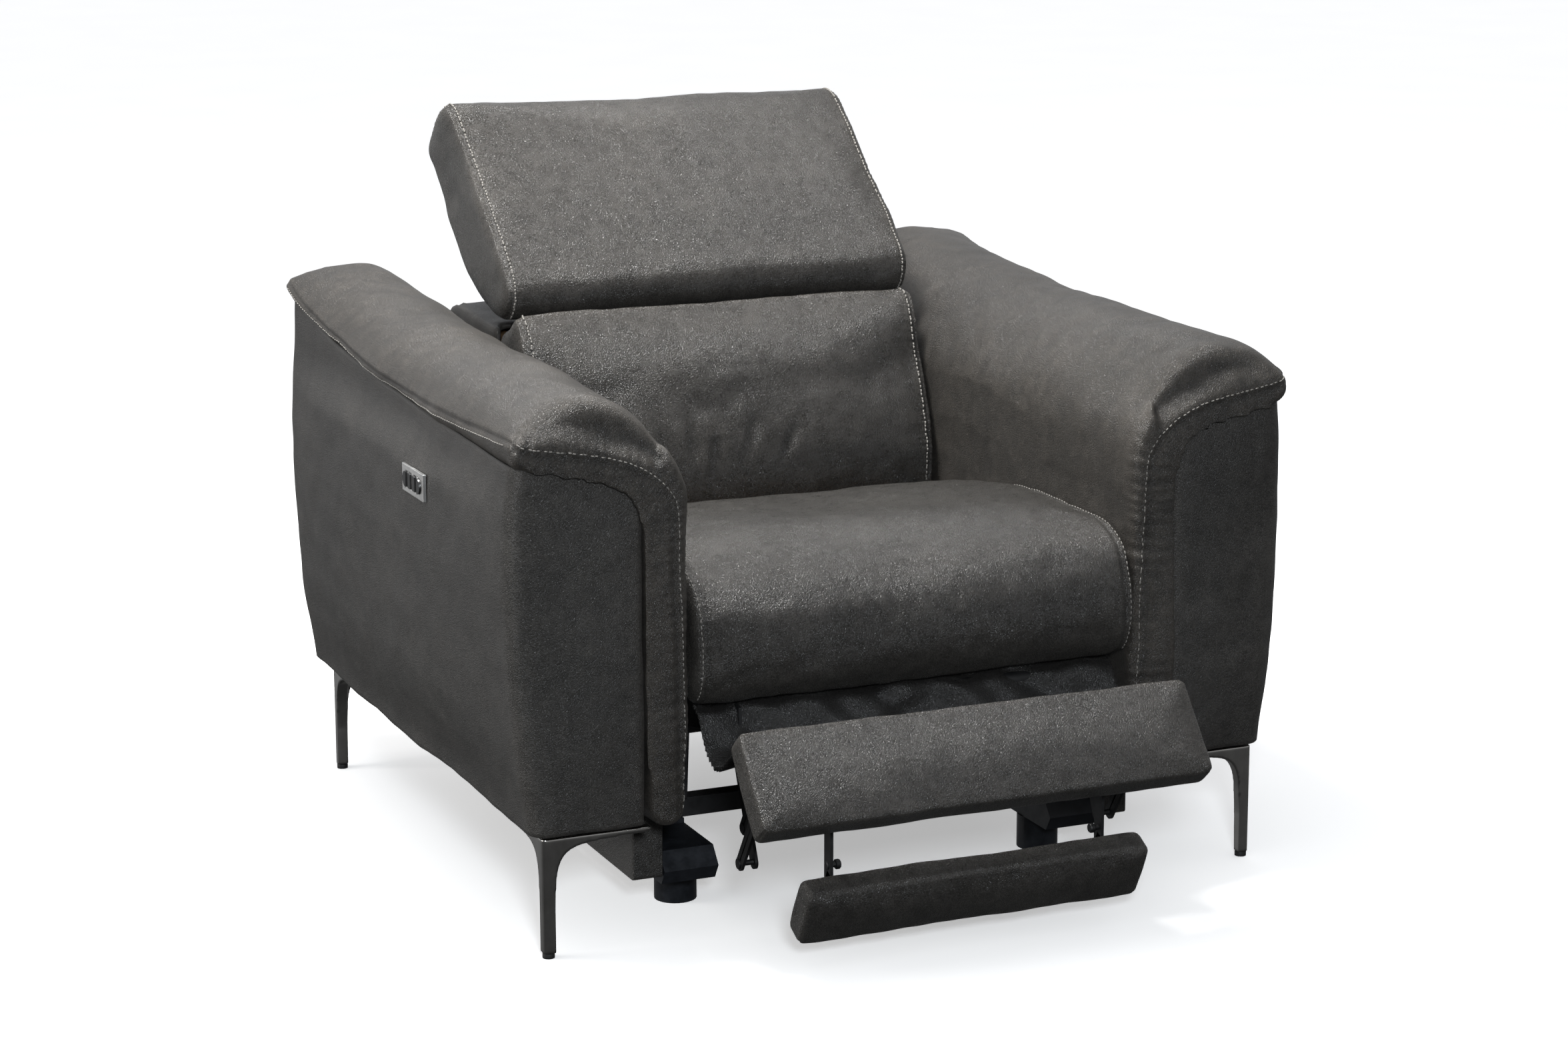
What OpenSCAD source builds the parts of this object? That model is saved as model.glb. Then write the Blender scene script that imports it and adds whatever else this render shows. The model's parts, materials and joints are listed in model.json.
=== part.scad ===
// Power recliner armchair: fixed arms and seat, reclining back, tilting headrest, two-stage footrest.
// Origin on the floor under the middle of the chair. The front faces -Y, Z is up.
// "left" is the -X side, which carries the control panel.

/* [Seat] */
// Half of the width between the arms' inner faces
bay_half = 300; // [299:1:304]
// Half width of the seat cushion
seat_half = 296; // [280:1:297]
// Height of the seat cushion's crown
seat_crown = 466; // [450:1:480]

/* [Arms] */
// Outer half width at the bottom of an arm
arm_out = 503; // [498:1:510]
// Outer half width at the fullest part of an arm
arm_bulge = 538; // [530:1:545]
// Height of the underside of an arm
arm_bottom = 151; // [149:1:153]
// Front of the arm body
arm_front = -382; // [-384:1:-380]
// Rear of the arm body
arm_rear = 548; // [545:1:552]

/* [Legs] */
// Outer corner of a leg in X
leg_x = 488; // [484:1:490]
// Outer corner of the front legs in Y
leg_front = -374; // [-378:1:-370]
// Outer corner of the rear legs in Y
leg_rear = 500; // [494:1:506]
// Length of a leg bracket's arms
leg_arm = 140; // [120:1:144]
// Thickness of a leg's webs
leg_web = 16; // [12:1:16]

/* [Back] */
// Half width of the back
back_half = 294; // [285:1:295]
// Rear face of the outer back
back_rear = 546; // [540:1:550]
// Top of the outer back
back_top = 646; // [640:1:648]

/* [Footrest] */
// Half width of the main panel
panel_half = 298; // [280:1:299]
// Length of the main panel's face
panel_len = 122; // [118:1:124]
// Thickness of the main panel
panel_thick = 42; // [40:1:44]
// Half width of the lower flap
flap_half = 225; // [200:1:225]
// Length of the flap's face
flap_len = 78; // [72:1:80]
// Thickness of the flap
flap_thick = 36; // [32:1:38]

/* [Controls] */
// Centre of the control panel in Y
control_y = -64; // [-80:1:-50]
// Centre height of the control panel
control_z = 531; // [529:1:533]
// Length of the control panel
control_len = 84; // [82:1:88]
// Height of the control panel
control_h = 35; // [34:1:36]

/* [Hidden] */

$fn = 48;
left = -1;
right = 1;
skin = 0.5; // gap between neighbouring pieces

// Footrest mechanism, side view coordinates [y, z]
lift_pivot = [-352, 272];
elbow = [-407, 144];
footrest_edge = [-527, 304]; // top front edge of the main panel
footrest_lean = 38.7; // the panel's face from vertical
panel_pivot = [62, -5]; // in the panel's own axes: behind the face, along the face
follow_pivot = [75.3, -48.5];
flap_pivot = [77, -95];
flap_edge = [-575, 106];
flap_lean = -25.9;
elbow_reach = 42; // how far a lift arm runs on past the elbow
strip_w = 18;
strip_t = 4;
pin_r = 3.5;
pin_gap = 0.05;
open_pivot_gap = 2; // slack at the pivot that closes the linkage
plate_x = 227.5;
lift_x = 233;
reach_x = 239;
bracket_x = 245;
follow_x = 251;
tube_r = 11;
crank_r = 35;
crank_angle = 7; // from straight down, towards the rear

// Back and headrest pivots
back_pivot = [230, 300];
head_pivot = [308, 700];
head_roll = 47;
head_crank = [40, -30]; // length, angle above the horizontal to the rear
ear_x = 149;

function along(a, b, d) = a + (b - a) * d / norm(b - a);
follow_low = along(elbow, elbow + (elbow - lift_pivot), elbow_reach);
// A point of a leaned panel in the chair's side view
function leaned(edge, lean, p) =
    edge + [p[0] * cos(lean) + p[1] * sin(lean), -p[0] * sin(lean) + p[1] * cos(lean)];
// The same point back in the panel's own axes
function unleaned(edge, lean, p) =
    [(p - edge)[0] * cos(lean) - (p - edge)[1] * sin(lean),
     (p - edge)[0] * sin(lean) + (p - edge)[1] * cos(lean)];
panel_pin = leaned(footrest_edge, footrest_lean, panel_pivot);
follow_pin = leaned(footrest_edge, footrest_lean, follow_pivot);
flap_pin = leaned(footrest_edge, footrest_lean, flap_pivot);

// ---- helpers ----
module on_side(side) {
    if (side < 0) mirror([1, 0, 0]) children();
    else children();
}

// A side view outline [y, z] given thickness from x0 to x1
module across(x0, x1) {
    translate([x0, 0, 0]) rotate([90, 0, 90]) linear_extrude(x1 - x0) children();
}

// A front view outline [x, z] given depth from y0 to y1
module deep(y0, y1) {
    translate([0, y1, 0]) rotate([90, 0, 0]) linear_extrude(y1 - y0) children();
}

module block(low, high) {
    translate(low) cube(high - low);
}

// A flat strip with round ends
module strip(a, b, w) {
    translate(a) circle(d = w);
    translate(b) circle(d = w);
    translate(a) rotate(atan2(b[1] - a[1], b[0] - a[0]))
        translate([0, 0.1 - w / 2]) square([norm(b - a), w - 0.2]);
}

module hole(p, r) {
    translate(p) circle(r = r);
}

module pin(x0, x1, p, r) {
    across(x0, x1) hole(p, r);
}

module in_panel(edge, lean) {
    translate([0, edge[0], edge[1]]) rotate([-lean, 0, 0]) children();
}

// ---- arms ----
crest = [[-392, 677], [-374, 684], [-300, 690], [-120, 692], [57, 693], [221, 697], [380, 706],
    [480, 712], [545, 712], [560, 704]];
seam = [[-392, 636], [-374, 640], [-120, 631], [170, 634], [380, 655], [545, 690], [560, 688]];
under = [[-392, 602], [-374, 600], [-120, 611], [170, 622], [380, 640], [545, 668], [560, 670]];
cap_inset = [[-392, 9], [-374, 0], [545, 0], [560, 6]];

drop_w = 55; // thickness of the inner face and front border
module cap_slice(y) {
    top = lookup(y, crest);
    s = lookup(y, seam);
    u = lookup(y, under);
    i = lookup(y, cap_inset);
    deep(y, y + 1) polygon([
        [bay_half + i, 560], [306 + i, 580], [318 + i, 602], [336, 626], [360, top - 30 + i / 2],
        [380, top - 12], [402, top - 3], [425, top], [452, top - 0.07 * (top - s)],
        [480, top - 0.25 * (top - s)], [503, top - 0.53 * (top - s)], [518, s + 0.15 * (top - s)],
        [527 - i, s], [520 - i, u + 6], [505 - i, u], [356, 561]]);
}

module cap_roll() {
    stations = [for (row = crest) row[0]];
    for (i = [0 : len(stations) - 2]) hull() {
        cap_slice(stations[i]);
        cap_slice(stations[i + 1]);
    }
}

module arm_cap(side) {
    color("#4b4641") on_side(side) {
        cap_roll();
        // inner face and front border, rounded at its lower end
        deep(arm_front - 8, arm_rear) {
            translate([bay_half, 175]) square([drop_w, 386]);
            translate([bay_half + drop_w / 2, 175]) circle(d = drop_w);
        }
    }
}

// How far the outer side falls short of its fullest towards the front and rear
side_fall = [[-381, 13], [-110, 0], [200, 0], [540, 13]];
module body_slice(y) {
    i = lookup(y, [[-391, 8], [-381, 0], [540, 0], [552, 8]]);
    f = lookup(y, side_fall);
    u = lookup(y, under);
    deep(y, y + 1) polygon([
        [356, arm_bottom], [arm_out - i, arm_bottom], [519 - i - f / 2, 230], [533 - i - f, 360],
        [arm_bulge - i - f, 450], [533 - i - f, 540], [520 - i - f / 4, u - 4], [504 - i, u - 1.5],
        [356, 560]]);
}

module arm_body(side) {
    stations = [-391, -381, -110, 200, 335, 540, 551];
    color("#453f3a") difference() {
        on_side(side) difference() {
            for (i = [0 : len(stations) - 2]) hull() {
                body_slice(stations[i]);
                body_slice(stations[i + 1]);
            }
            translate([0, 0, -skin]) cap_roll();
            block([376, -345, 172], [486, 500, 545]);
            // hole in the arm's floor for the control's wire
            block([400, -20, 140], [412, -8, 173]);
        }
        if (side == left) control_cavity();
    }
}

module arm_frame(side) {
    color("#b08a5c") on_side(side) {
        for (y = [-341, 455]) block([380, y, 176], [482, y + 41, 541]);
        for (z = [176, 500]) block([380, -300, z], [482, 455, z + 41]);
        block([425, -300, 217], [437, 455, 500]);
    }
}

// ---- legs ----
// One web of a leg: distance in from the outer corner, height
module leg_outline() {
    polygon([[0, 6], [15, 6], [18, 60], [21, 108], [27, 126], [40, 136], [70, 141],
        [leg_arm, 144], [leg_arm, arm_bottom], [0, arm_bottom]]);
}

module leg(side, corner_y, rearward) {
    color("#5c6066") on_side(side) translate([leg_x, corner_y, 0]) scale([1, rearward, 1]) {
        mirror([1, 0, 0]) deep(0, leg_web) leg_outline();
        across(-leg_web, 0) leg_outline();
    }
}

module leg_glides() {
    foot = leg_web / 2;
    color("#161616") for (x = [-1, 1], y = [leg_front + foot, leg_rear - foot])
        translate([x * (leg_x - foot), y, 0]) cylinder(r = 7.5, h = 6);
}

// ---- base ----
module base_rail(side) {
    color("#2b2826") on_side(side) block([304.5, -301, 57], [345, 330, 147]);
}

module cross_tube(y) {
    color("#1b1b1c") difference() {
        block([-304.5, y, 92], [304.5, y + 25, 117]);
        block([-310, y + 2, 94], [310, y + 23, 115]);
    }
}

module stand(side, y, rearward) {
    color("#141416") on_side(side) translate([0, y, 0]) scale([1, rearward, 1]) {
        across(232, 304) polygon([[-84, 64], [-66, 86], [30, 86], [30, 92], [60, 92], [60, 45],
            [-72, 45]]);
        translate([257, 0, 0]) cylinder(r = 27, h = 45);
    }
}

module side_plate(side) {
    color("#242526") on_side(side) across(plate_x, plate_x + strip_t) difference() {
        polygon([[-370, 258], [-370, 284], [-340, 290], [200, 290], [214, 322], [246, 322],
            [254, 290], [240, 250], [190, 200], [190, 117], [-190, 117], [-200, 215], [-320, 242]]);
        hole(lift_pivot, tube_r + pin_gap);
        hole(back_pivot, 8 + pin_gap);
        for (y = [-110, 0, 110]) hole([y, 180], 22);
    }
}

module motor_bar() {
    color("#1b1b1c") block([-plate_x, -70, 270], [plate_x, -40, 288]);
}

// ---- seat ----
module seat_rail(low, high) {
    color("#b08a5c") block(low, high);
}

// A zigzag spring of square wire along +Y from the origin
module zigzag(length, width, rungs, wire) {
    pitch = length / rungs;
    for (i = [0 : rungs])
        block([-width / 2, i * pitch - wire / 2, 0], [width / 2, i * pitch + wire / 2, wire]);
    for (i = [0 : rungs - 1]) {
        x = (i % 2 == 0 ? 1 : -1) * (width / 2 - wire / 2);
        block([x - wire / 2, i * pitch, 0], [x + wire / 2, (i + 1) * pitch, wire]);
    }
}

module seat_springs() {
    color("#8a8d90") for (x = [-168, -84, 0, 84, 168])
        translate([x, -298.2, 302]) zigzag(446.4, 50, 12, 3.6);
}

module seat_cushion() {
    color("#4b4641") across(-seat_half, seat_half) polygon([
        [-352, 312], [-352, 289], [-370, 289], [-391, 302], [-406, 333], [-409, 365], [-404, 399],
        [-392, 432], [-372, 451], [-335, 462], [-270, seat_crown], [-150, seat_crown], [-60, 456],
        [40, 438], [140, 422], [150, 412], [150, 312]]);
}

module skirt() {
    color("#3d3833") across(-285, 285)
        polygon([[-368, 284.5], [-368, 288.5], [-491, 284], [-491, 280]]);
}

module recline_motor() {
    color("#202122") difference() {
        union() {
            block([-32, -150, 214], [32, -20, 270]);
            translate([0, -20, 242]) rotate([-90, 0, 0]) cylinder(r = 25, h = 120);
            translate([0, -240, 242]) rotate([-90, 0, 0]) cylinder(r = 15, h = 90);
        }
        translate([0, -241, 242]) rotate([-90, 0, 0]) cylinder(r = 8.4, h = 215);
    }
}

// The recline rod's eye plate stands beside the crank on the torque tube
crank_pin = lift_pivot + crank_r * [sin(crank_angle), -cos(crank_angle)];
module recline_rod() {
    color("#8a8d90") {
        across(7, 12) difference() {
            translate([crank_pin[0] - 13, 222]) square([43, 38]);
            strip([crank_pin[0], 235], [crank_pin[0], 251], 11);
        }
        translate([0, crank_pin[0] + 18, 242]) rotate([-90, 0, 0]) cylinder(r = 8, h = 173);
        block([-8, crank_pin[0] + 18, 234], [12, crank_pin[0] + 30, 250]);
    }
}

module power_supply() {
    color("#18181a") block([-62, 118, 117], [62, 200, 149]);
}

module power_inlet() {
    color("#0f0f10") difference() {
        block([70, 185, 118], [94, 205, 136]);
        block([74, 193, 121], [90, 206, 133]);
    }
    color("#0f0f10") block([62, 188, 122], [70, 198, 132]);
}

// ---- controls on the left arm ----
face_x = -536;
module control_cavity() {
    block([face_x - 10, control_y - 40, control_z - 16], [-500, control_y + 40, control_z + 16]);
}

button_y = [-26, -9, 9, 26];

module button_outline(i, grow) {
    // outer pair are D shapes with their round side outwards, inner pair are bars
    if (i == 1 || i == 2) translate([button_y[i] - 4.5 - grow, -10 - grow])
        square([9 + 2 * grow, 20 + 2 * grow]);
    else intersection() {
        translate([button_y[i] * 24 / 26, 0]) circle(r = 10 + grow);
        translate([button_y[i] > 0 ? 22 - grow : -36, -20]) square([14 + grow, 40]);
    }
}

module control_housing() {
    color("#161617") difference() {
        block([face_x + 0.5, control_y - 39.5, control_z - 15.5],
            [-501, control_y + 39.5, control_z + 15.5]);
        block([face_x - 1, control_y - 37, control_z - 13], [-506, control_y + 37, control_z + 13]);
    }
}

module control_plate() {
    color("#b9bcbf") translate([face_x - 4, control_y, control_z]) rotate([90, 0, 90])
        linear_extrude(4) difference() {
            translate([-control_len / 2, -control_h / 2]) square([control_len, control_h]);
            for (i = [0 : 3]) button_outline(i, 0.4);
        }
}

module button(i) {
    color("#c8cacc") translate([face_x - 6.5, control_y, control_z]) rotate([90, 0, 90]) {
        linear_extrude(8) button_outline(i, 0);
        translate([0, 0, 8]) linear_extrude(2)
            translate([button_y[i] - 6, -11]) square([12, 22]);
    }
}

// ---- back ----
module back_side(side) {
    color("#b08a5c") on_side(side) across(237, 255) polygon([[262, 352], [300, 318], [330, 300],
        [490, 300], [518, 330], [518, 626], [352, 626], [350, 600], [266, 380]]);
}

module back_rail_top() {
    color("#b08a5c") block([-237, 352, 588], [237, 388, 624]);
}

module back_rail_bottom() {
    color("#b08a5c") block([-lift_x, 272, 340], [lift_x, 308, 374]);
}

module back_springs() {
    low = [288, 374];
    high = [362, 588];
    slope = atan2(high[1] - low[1], high[0] - low[0]);
    color("#8a8d90") for (x = [-180, -80, 80, 180])
        translate([x, low[0], low[1]]) rotate([slope, 0, 0])
            translate([0, 4, 0]) zigzag(norm(high - low) - 8, 50, 6, 3.6);
}

module back_hinges() {
    color("#242526") for (side = [left, right]) on_side(side) {
        across(lift_x, lift_x + strip_t) strip(back_pivot, [330, 372], 36);
        pin(plate_x - 4, lift_x, back_pivot, 8);
        pin(plate_x - 7, plate_x - 4, back_pivot, 13);
    }
}

module headrest_ears() {
    color("#242526") for (side = [left, right]) on_side(side)
        across(ear_x, ear_x + 5) difference() {
            union() {
                strip(head_pivot, [340, 628], 22);
                translate([341, 588]) square([11, 44]);
            }
            hole(head_pivot, 9 + pin_gap);
        }
}

module back_cover() {
    color("#453f3a") difference() {
        across(-back_half, back_half) polygon([[257, 372], [270, 350], [500, 190], [536, 190],
            [back_rear, 400], [back_rear - 2, 622], [530, back_top], [353, back_top], [346, 626]]);
        across(-280, 280) polygon([[240, 372], [240, 340], [490, 160], [522, 160], [531, 400],
            [530, 616], [520, back_top - 14], [300, back_top - 14]]);
        // front of the top panel, left open for the headrest's ears and rod
        block([-160, 340, 626], [160, 358, 650]);
    }
}

module back_cushion() {
    color("#4b4641") across(-back_half, back_half) polygon([
        [192, 362], [174, 386], [163, 418], [165, 468], [174, 512], [187, 556], [203, 592],
        [222, 625], [244, 643], [316, 645], [322, 616], [252, 384], [246, 364]]);
}

// ---- headrest ----
// The lower edge is a roll around the hinge axis
module headrest_outline() {
    roll = [for (a = [133 : 10 : 283]) head_pivot + head_roll * [cos(a), sin(a)]];
    polygon(concat(roll, [[374, 665], [450, 703], [540, 787], [604, 840], [611, 862], [594, 888],
        [562, 915], [530, 932], [500, 928]]));
}

board_angle = 44.5;
head_tip = head_pivot + head_crank[0] * [cos(head_crank[1]), sin(head_crank[1])];
module head_board(grow) {
    translate([0, head_pivot[0], head_pivot[1]]) rotate([board_angle, 0, 0])
        block([-222 - grow, -grow, -6 - grow], [222 + grow, 270 + grow, 6 + grow]);
}

module headrest_frame() {
    color("#8a8d90") {
        pin(-240, 240, head_pivot, 9);
        across(-4, 0) strip(head_pivot, head_tip, 14);
        pin(0, 8, head_tip, 3);
        difference() {
            head_board(0);
            for (x = [-ear_x - 2.5, 0, ear_x + 2.5]) block([x - 12, 290, 640], [x + 12, 355, 762]);
        }
    }
}

module headrest_pad() {
    color("#4b4641") difference() {
        across(-back_half, back_half) headrest_outline();
        head_board(skin);
        pin(-241, 241, head_pivot, 9 + skin);
        for (x = [-ear_x - 2.5, ear_x + 2.5]) pin(x - 5, x + 5, head_pivot, 57);
        pin(-10, 12, head_pivot, 62);
    }
}

rod_lean = -7.5; // the headrest rod's lean forward from vertical, as turned about X
module headrest_rod() {
    color("#8a8d90") translate([0, head_tip[0], head_tip[1]]) rotate([rod_lean, 0, 0]) {
        difference() {
            across(1, 5) translate([-9, -17]) square([19, 26]);
            across(0, 9) strip([-1, 0], [4, 0], 7.4);
        }
        translate([0, -1, -150]) cylinder(r = 4.5, h = 135);
        block([-4, -5, -17], [5, 3, -12]);
    }
}

module headrest_motor() {
    color("#202122") translate([0, head_tip[0], head_tip[1]]) rotate([rod_lean, 0, 0]) difference() {
        union() {
            translate([0, -1, -190]) cylinder(r = 9, h = 110);
            block([-26, -14, -232], [26, 34, -160]);
        }
        translate([0, -1, -186]) cylinder(r = 5, h = 107);
    }
}

// ---- footrest ----
module lift_arms() {
    color("#1d1e1f") {
        pin(-lift_x, lift_x, lift_pivot, tube_r);
        across(1, 6) strip(lift_pivot, crank_pin, 16);
        pin(6, 13, crank_pin, 3.5);
        for (side = [left, right]) on_side(side) {
            across(lift_x, lift_x + strip_t) strip(lift_pivot, follow_low, strip_w);
            pin(lift_x + strip_t, reach_x + strip_t, elbow, pin_r);
            pin(reach_x + strip_t, reach_x + strip_t + 1.4, elbow, 6.5);
            pin(lift_x + strip_t, follow_x + strip_t, follow_low, pin_r);
            pin(follow_x + strip_t, follow_x + strip_t + 2, follow_low, 6.5);
        }
    }
}

module reach_arm(side) {
    color("#1d1e1f") on_side(side) across(reach_x, reach_x + strip_t) difference() {
        strip(elbow, panel_pin, strip_w);
        hole(elbow, pin_r + pin_gap);
        hole(panel_pin, pin_r + pin_gap);
    }
}

module follow_link(side) {
    color("#1d1e1f") on_side(side) across(follow_x, follow_x + strip_t) difference() {
        strip(follow_low, follow_pin, strip_w);
        hole(follow_low, pin_r + pin_gap);
        hole(follow_pin, pin_r + open_pivot_gap);
    }
}

board_t = 11;
module footrest_board() {
    back = panel_thick;
    color("#1d1e1f") {
        in_panel(footrest_edge, footrest_lean) {
            block([-284, back - board_t, -panel_len + 11], [284, back, -11]);
            for (side = [left, right]) on_side(side) {
                // bracket that carries the two link pins
                across(bracket_x, bracket_x + strip_t) {
                    polygon([[back, -12], [back, -90], [follow_pivot[0], -57], [82, -44],
                        [panel_pivot[0] + 8, 0], [panel_pivot[0] - 6, 3]]);
                }
                block([bracket_x - 1, back, -90], [bracket_x + 24, back + 3, -12]);
                // lug that carries the flap
                across(186, 190) polygon([[back, -62], [back, -110], [74, -106], [86, -98],
                    [84, -86], [72, -80]]);
            }
        }
        for (side = [left, right]) on_side(side) {
            pin(reach_x, bracket_x, panel_pin, pin_r);
            pin(bracket_x + strip_t, follow_x + strip_t, follow_pin, pin_r);
            pin(follow_x + strip_t, follow_x + strip_t + 2, follow_pin, 7.5);
            pin(178, 186, flap_pin, 4);
            pin(174, 178, flap_pin, 8);
        }
    }
}

module footrest_pad() {
    color("#4b4641") in_panel(footrest_edge, footrest_lean) difference() {
        across(-panel_half, panel_half) translate([12, -panel_len + 12])
            offset(r = 12) square([panel_thick - 24, panel_len - 24]);
        block([-285, panel_thick - board_t - skin, -panel_len + 10.5], [285, panel_thick + 1, -10.5]);
    }
}

module flap() {
    hinge = unleaned(flap_edge, flap_lean, flap_pin);
    color("#4b4641") in_panel(flap_edge, flap_lean)
        across(-flap_half, flap_half) translate([10, -flap_len + 10])
            offset(r = 10) square([flap_thick - 20, flap_len - 20]);
    color("#1d1e1f") in_panel(flap_edge, flap_lean) for (side = [left, right]) on_side(side)
        across(180, 184) difference() {
            union() {
                strip(hinge, [46, -18], 18);
                translate([flap_thick - 1, -50]) square([15, 40]);
            }
            hole(hinge, 4 + pin_gap);
        }
    color("#1d1e1f") in_panel(flap_edge, flap_lean) for (side = [left, right]) on_side(side)
        pin(168, 180, [52, -4], 5);
}

arm_frame(left);  // arm_frame_left
arm_frame(right);  // arm_frame_right
arm_body(left);  // arm_body_left
arm_body(right);  // arm_body_right
arm_cap(left);  // arm_cap_left
arm_cap(right);  // arm_cap_right
leg(left, leg_front, 1);  // leg_front_left
leg(right, leg_front, 1);  // leg_front_right
leg(left, leg_rear, -1);  // leg_rear_left
leg(right, leg_rear, -1);  // leg_rear_right
leg_glides();
base_rail(left);  // base_rail_left
base_rail(right);  // base_rail_right
cross_tube(-185);  // cross_tube_front
cross_tube(160);  // cross_tube_rear
stand(left, -219.5, 1);  // stand_front_left
stand(right, -219.5, 1);  // stand_front_right
stand(left, 219.5, -1);  // stand_rear_left
stand(right, 219.5, -1);  // stand_rear_right
side_plate(left);  // side_plate_left
side_plate(right);  // side_plate_right
motor_bar();
seat_rail([-268, -338, 290], [268, -300, 311]);  // seat_rail_front
seat_rail([-268, 150, 290], [268, 190, 311]);  // seat_rail_rear
seat_rail([-268, -300, 290], [-227.5, 150, 311]);  // seat_rail_left
seat_rail([227.5, -300, 290], [268, 150, 311]);  // seat_rail_right
seat_springs();
seat_cushion();
skirt();
recline_motor();
power_supply();
power_inlet();
control_housing();
control_plate();
button(0);  // button_recline
button(1);  // button_raise
button(2);  // button_head_back
button(3);  // button_head_forward
back_side(left);  // back_side_left
back_side(right);  // back_side_right
back_rail_top();
back_rail_bottom();
back_springs();
back_hinges();
headrest_ears();
back_cover();
back_cushion();
headrest_motor();
headrest_rod();
headrest_frame();
headrest_pad();
lift_arms();
reach_arm(left);  // reach_arm_left
reach_arm(right);  // reach_arm_right
follow_link(left);  // follow_link_left
follow_link(right);  // follow_link_right
recline_rod();
footrest_board();
footrest_pad();
flap();
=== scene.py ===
import json
import math

import bmesh
import bpy
import numpy as np
from mathutils import Matrix, Vector, noise
from mathutils.bvhtree import BVHTree
from mathutils.kdtree import KDTree


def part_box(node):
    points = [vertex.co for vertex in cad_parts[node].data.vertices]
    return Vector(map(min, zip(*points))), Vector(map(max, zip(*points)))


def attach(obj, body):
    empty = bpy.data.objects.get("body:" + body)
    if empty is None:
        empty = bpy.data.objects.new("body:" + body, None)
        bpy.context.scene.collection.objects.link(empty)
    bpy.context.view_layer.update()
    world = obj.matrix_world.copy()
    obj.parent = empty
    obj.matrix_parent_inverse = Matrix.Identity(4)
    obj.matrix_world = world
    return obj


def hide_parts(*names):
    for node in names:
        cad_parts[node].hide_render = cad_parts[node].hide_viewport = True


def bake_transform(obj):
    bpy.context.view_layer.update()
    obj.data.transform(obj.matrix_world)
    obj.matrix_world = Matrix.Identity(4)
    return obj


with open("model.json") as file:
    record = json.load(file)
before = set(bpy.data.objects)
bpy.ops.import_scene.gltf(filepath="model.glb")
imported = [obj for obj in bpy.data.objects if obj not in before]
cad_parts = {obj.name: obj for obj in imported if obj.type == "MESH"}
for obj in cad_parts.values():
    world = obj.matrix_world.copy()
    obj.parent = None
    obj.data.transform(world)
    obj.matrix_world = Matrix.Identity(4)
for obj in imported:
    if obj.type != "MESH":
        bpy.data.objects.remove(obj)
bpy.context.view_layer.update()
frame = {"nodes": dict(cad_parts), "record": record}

# Power recliner armchair. Metres, -Y is the front, Z is up, "left" is the -X side.
LEFT, RIGHT = -1, 1
SIDES = {"left": LEFT, "right": RIGHT}

SEAT_LOW, SEAT_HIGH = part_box("seat_cushion")
BACK_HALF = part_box("back_cushion")[1].x  # half width of the back
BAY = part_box("arm_cap_right")[0].x  # half width between the arms

THREAD_RADIUS = 0.0007
STITCH_STEP = 0.0072
BEAD_RADIUS = 0.0012  # the thick thread of the back and the headrest
BEAD_STEP = 0.0056
AIR_PRESSURE = 4.0  # of the cloth simulation
CLOTH_FRAMES = 20
RELAX_SHARE = 0.6  # of the way to the neighbours' average, each round
ROUNDING_STEPS = 7  # rings in a rounded end


def mm(points):
    """A list of points in millimetres as an array in metres."""
    return np.array(points, float) / 1000


# ---------------------------------------------------------------- curves
def lengths_along(points):
    steps = np.linalg.norm(np.diff(points, axis=0), axis=1)
    return np.concatenate([[0], np.cumsum(steps)])


def resampled(points, spacing):
    """The same polyline with evenly spaced points."""
    along = lengths_along(points)
    count = max(2, int(round(along[-1] / spacing)) + 1)
    wanted = np.linspace(0, along[-1], count)
    return np.stack([np.interp(wanted, along, column) for column in points.T], 1)


def curve_through(points, spacing=0.004):
    """An open Catmull-Rom curve through the points."""
    ends = np.vstack([2 * points[0] - points[1], points, 2 * points[-1] - points[-2]])
    made = []
    for a, b, c, d in zip(ends[:-3], ends[1:-2], ends[2:-1], ends[3:]):
        t = np.linspace(0, 1, 16, endpoint=False)[:, None]
        made.append(0.5 * (2 * b + (c - a) * t + (2 * a - 5 * b + 4 * c - d) * t**2
                           + (3 * b - a - 3 * c + d) * t**3))
    return resampled(np.vstack([*made, points[-1:]]), spacing)


def arc(centre, radius, start, end, count=16):
    """Points of an arc in the side view, angles in degrees."""
    angles = np.radians(np.linspace(start, end, count))
    return np.array(centre) + radius * np.stack([np.cos(angles), np.sin(angles)], 1)


def outline_area(ring):
    y, z = ring.T
    return 0.5 * float(np.sum(y * np.roll(z, -1) - np.roll(y, -1) * z))


def inset(ring, distance):
    """A closed 2-D outline moved inwards."""
    along = np.roll(ring, -1, 0) - np.roll(ring, 1, 0)
    along /= np.maximum(np.linalg.norm(along, axis=1, keepdims=True), 1e-9)
    outward = np.stack([along[:, 1], -along[:, 0]], 1) * np.sign(outline_area(ring))
    return ring - outward * np.reshape(distance, (-1, 1))


# ---------------------------------------------------------------- meshes
def coords(obj):
    flat = np.empty(len(obj.data.vertices) * 3)
    obj.data.vertices.foreach_get("co", flat)
    return flat.reshape(-1, 3)


def normals(obj):
    flat = np.empty(len(obj.data.vertices) * 3)
    obj.data.vertex_normals.foreach_get("vector", flat)
    return flat.reshape(-1, 3)


def set_coords(obj, points):
    obj.data.vertices.foreach_set("co", np.ascontiguousarray(points, float).ravel())
    obj.data.update()


def shaded_smooth(mesh):
    for face in mesh.polygons:
        face.use_smooth = True


def face_outward(mesh):
    """Turns the normals of a closed mesh outwards."""
    work = bmesh.new()
    work.from_mesh(mesh)
    bmesh.ops.recalc_face_normals(work, faces=work.faces)
    work.to_mesh(mesh)
    work.free()


def linked(name, mesh):
    """A new object for the mesh, in the scene and shaded smooth."""
    obj = bpy.data.objects.new(name, mesh)
    bpy.context.scene.collection.objects.link(obj)
    shaded_smooth(mesh)
    return obj


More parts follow.
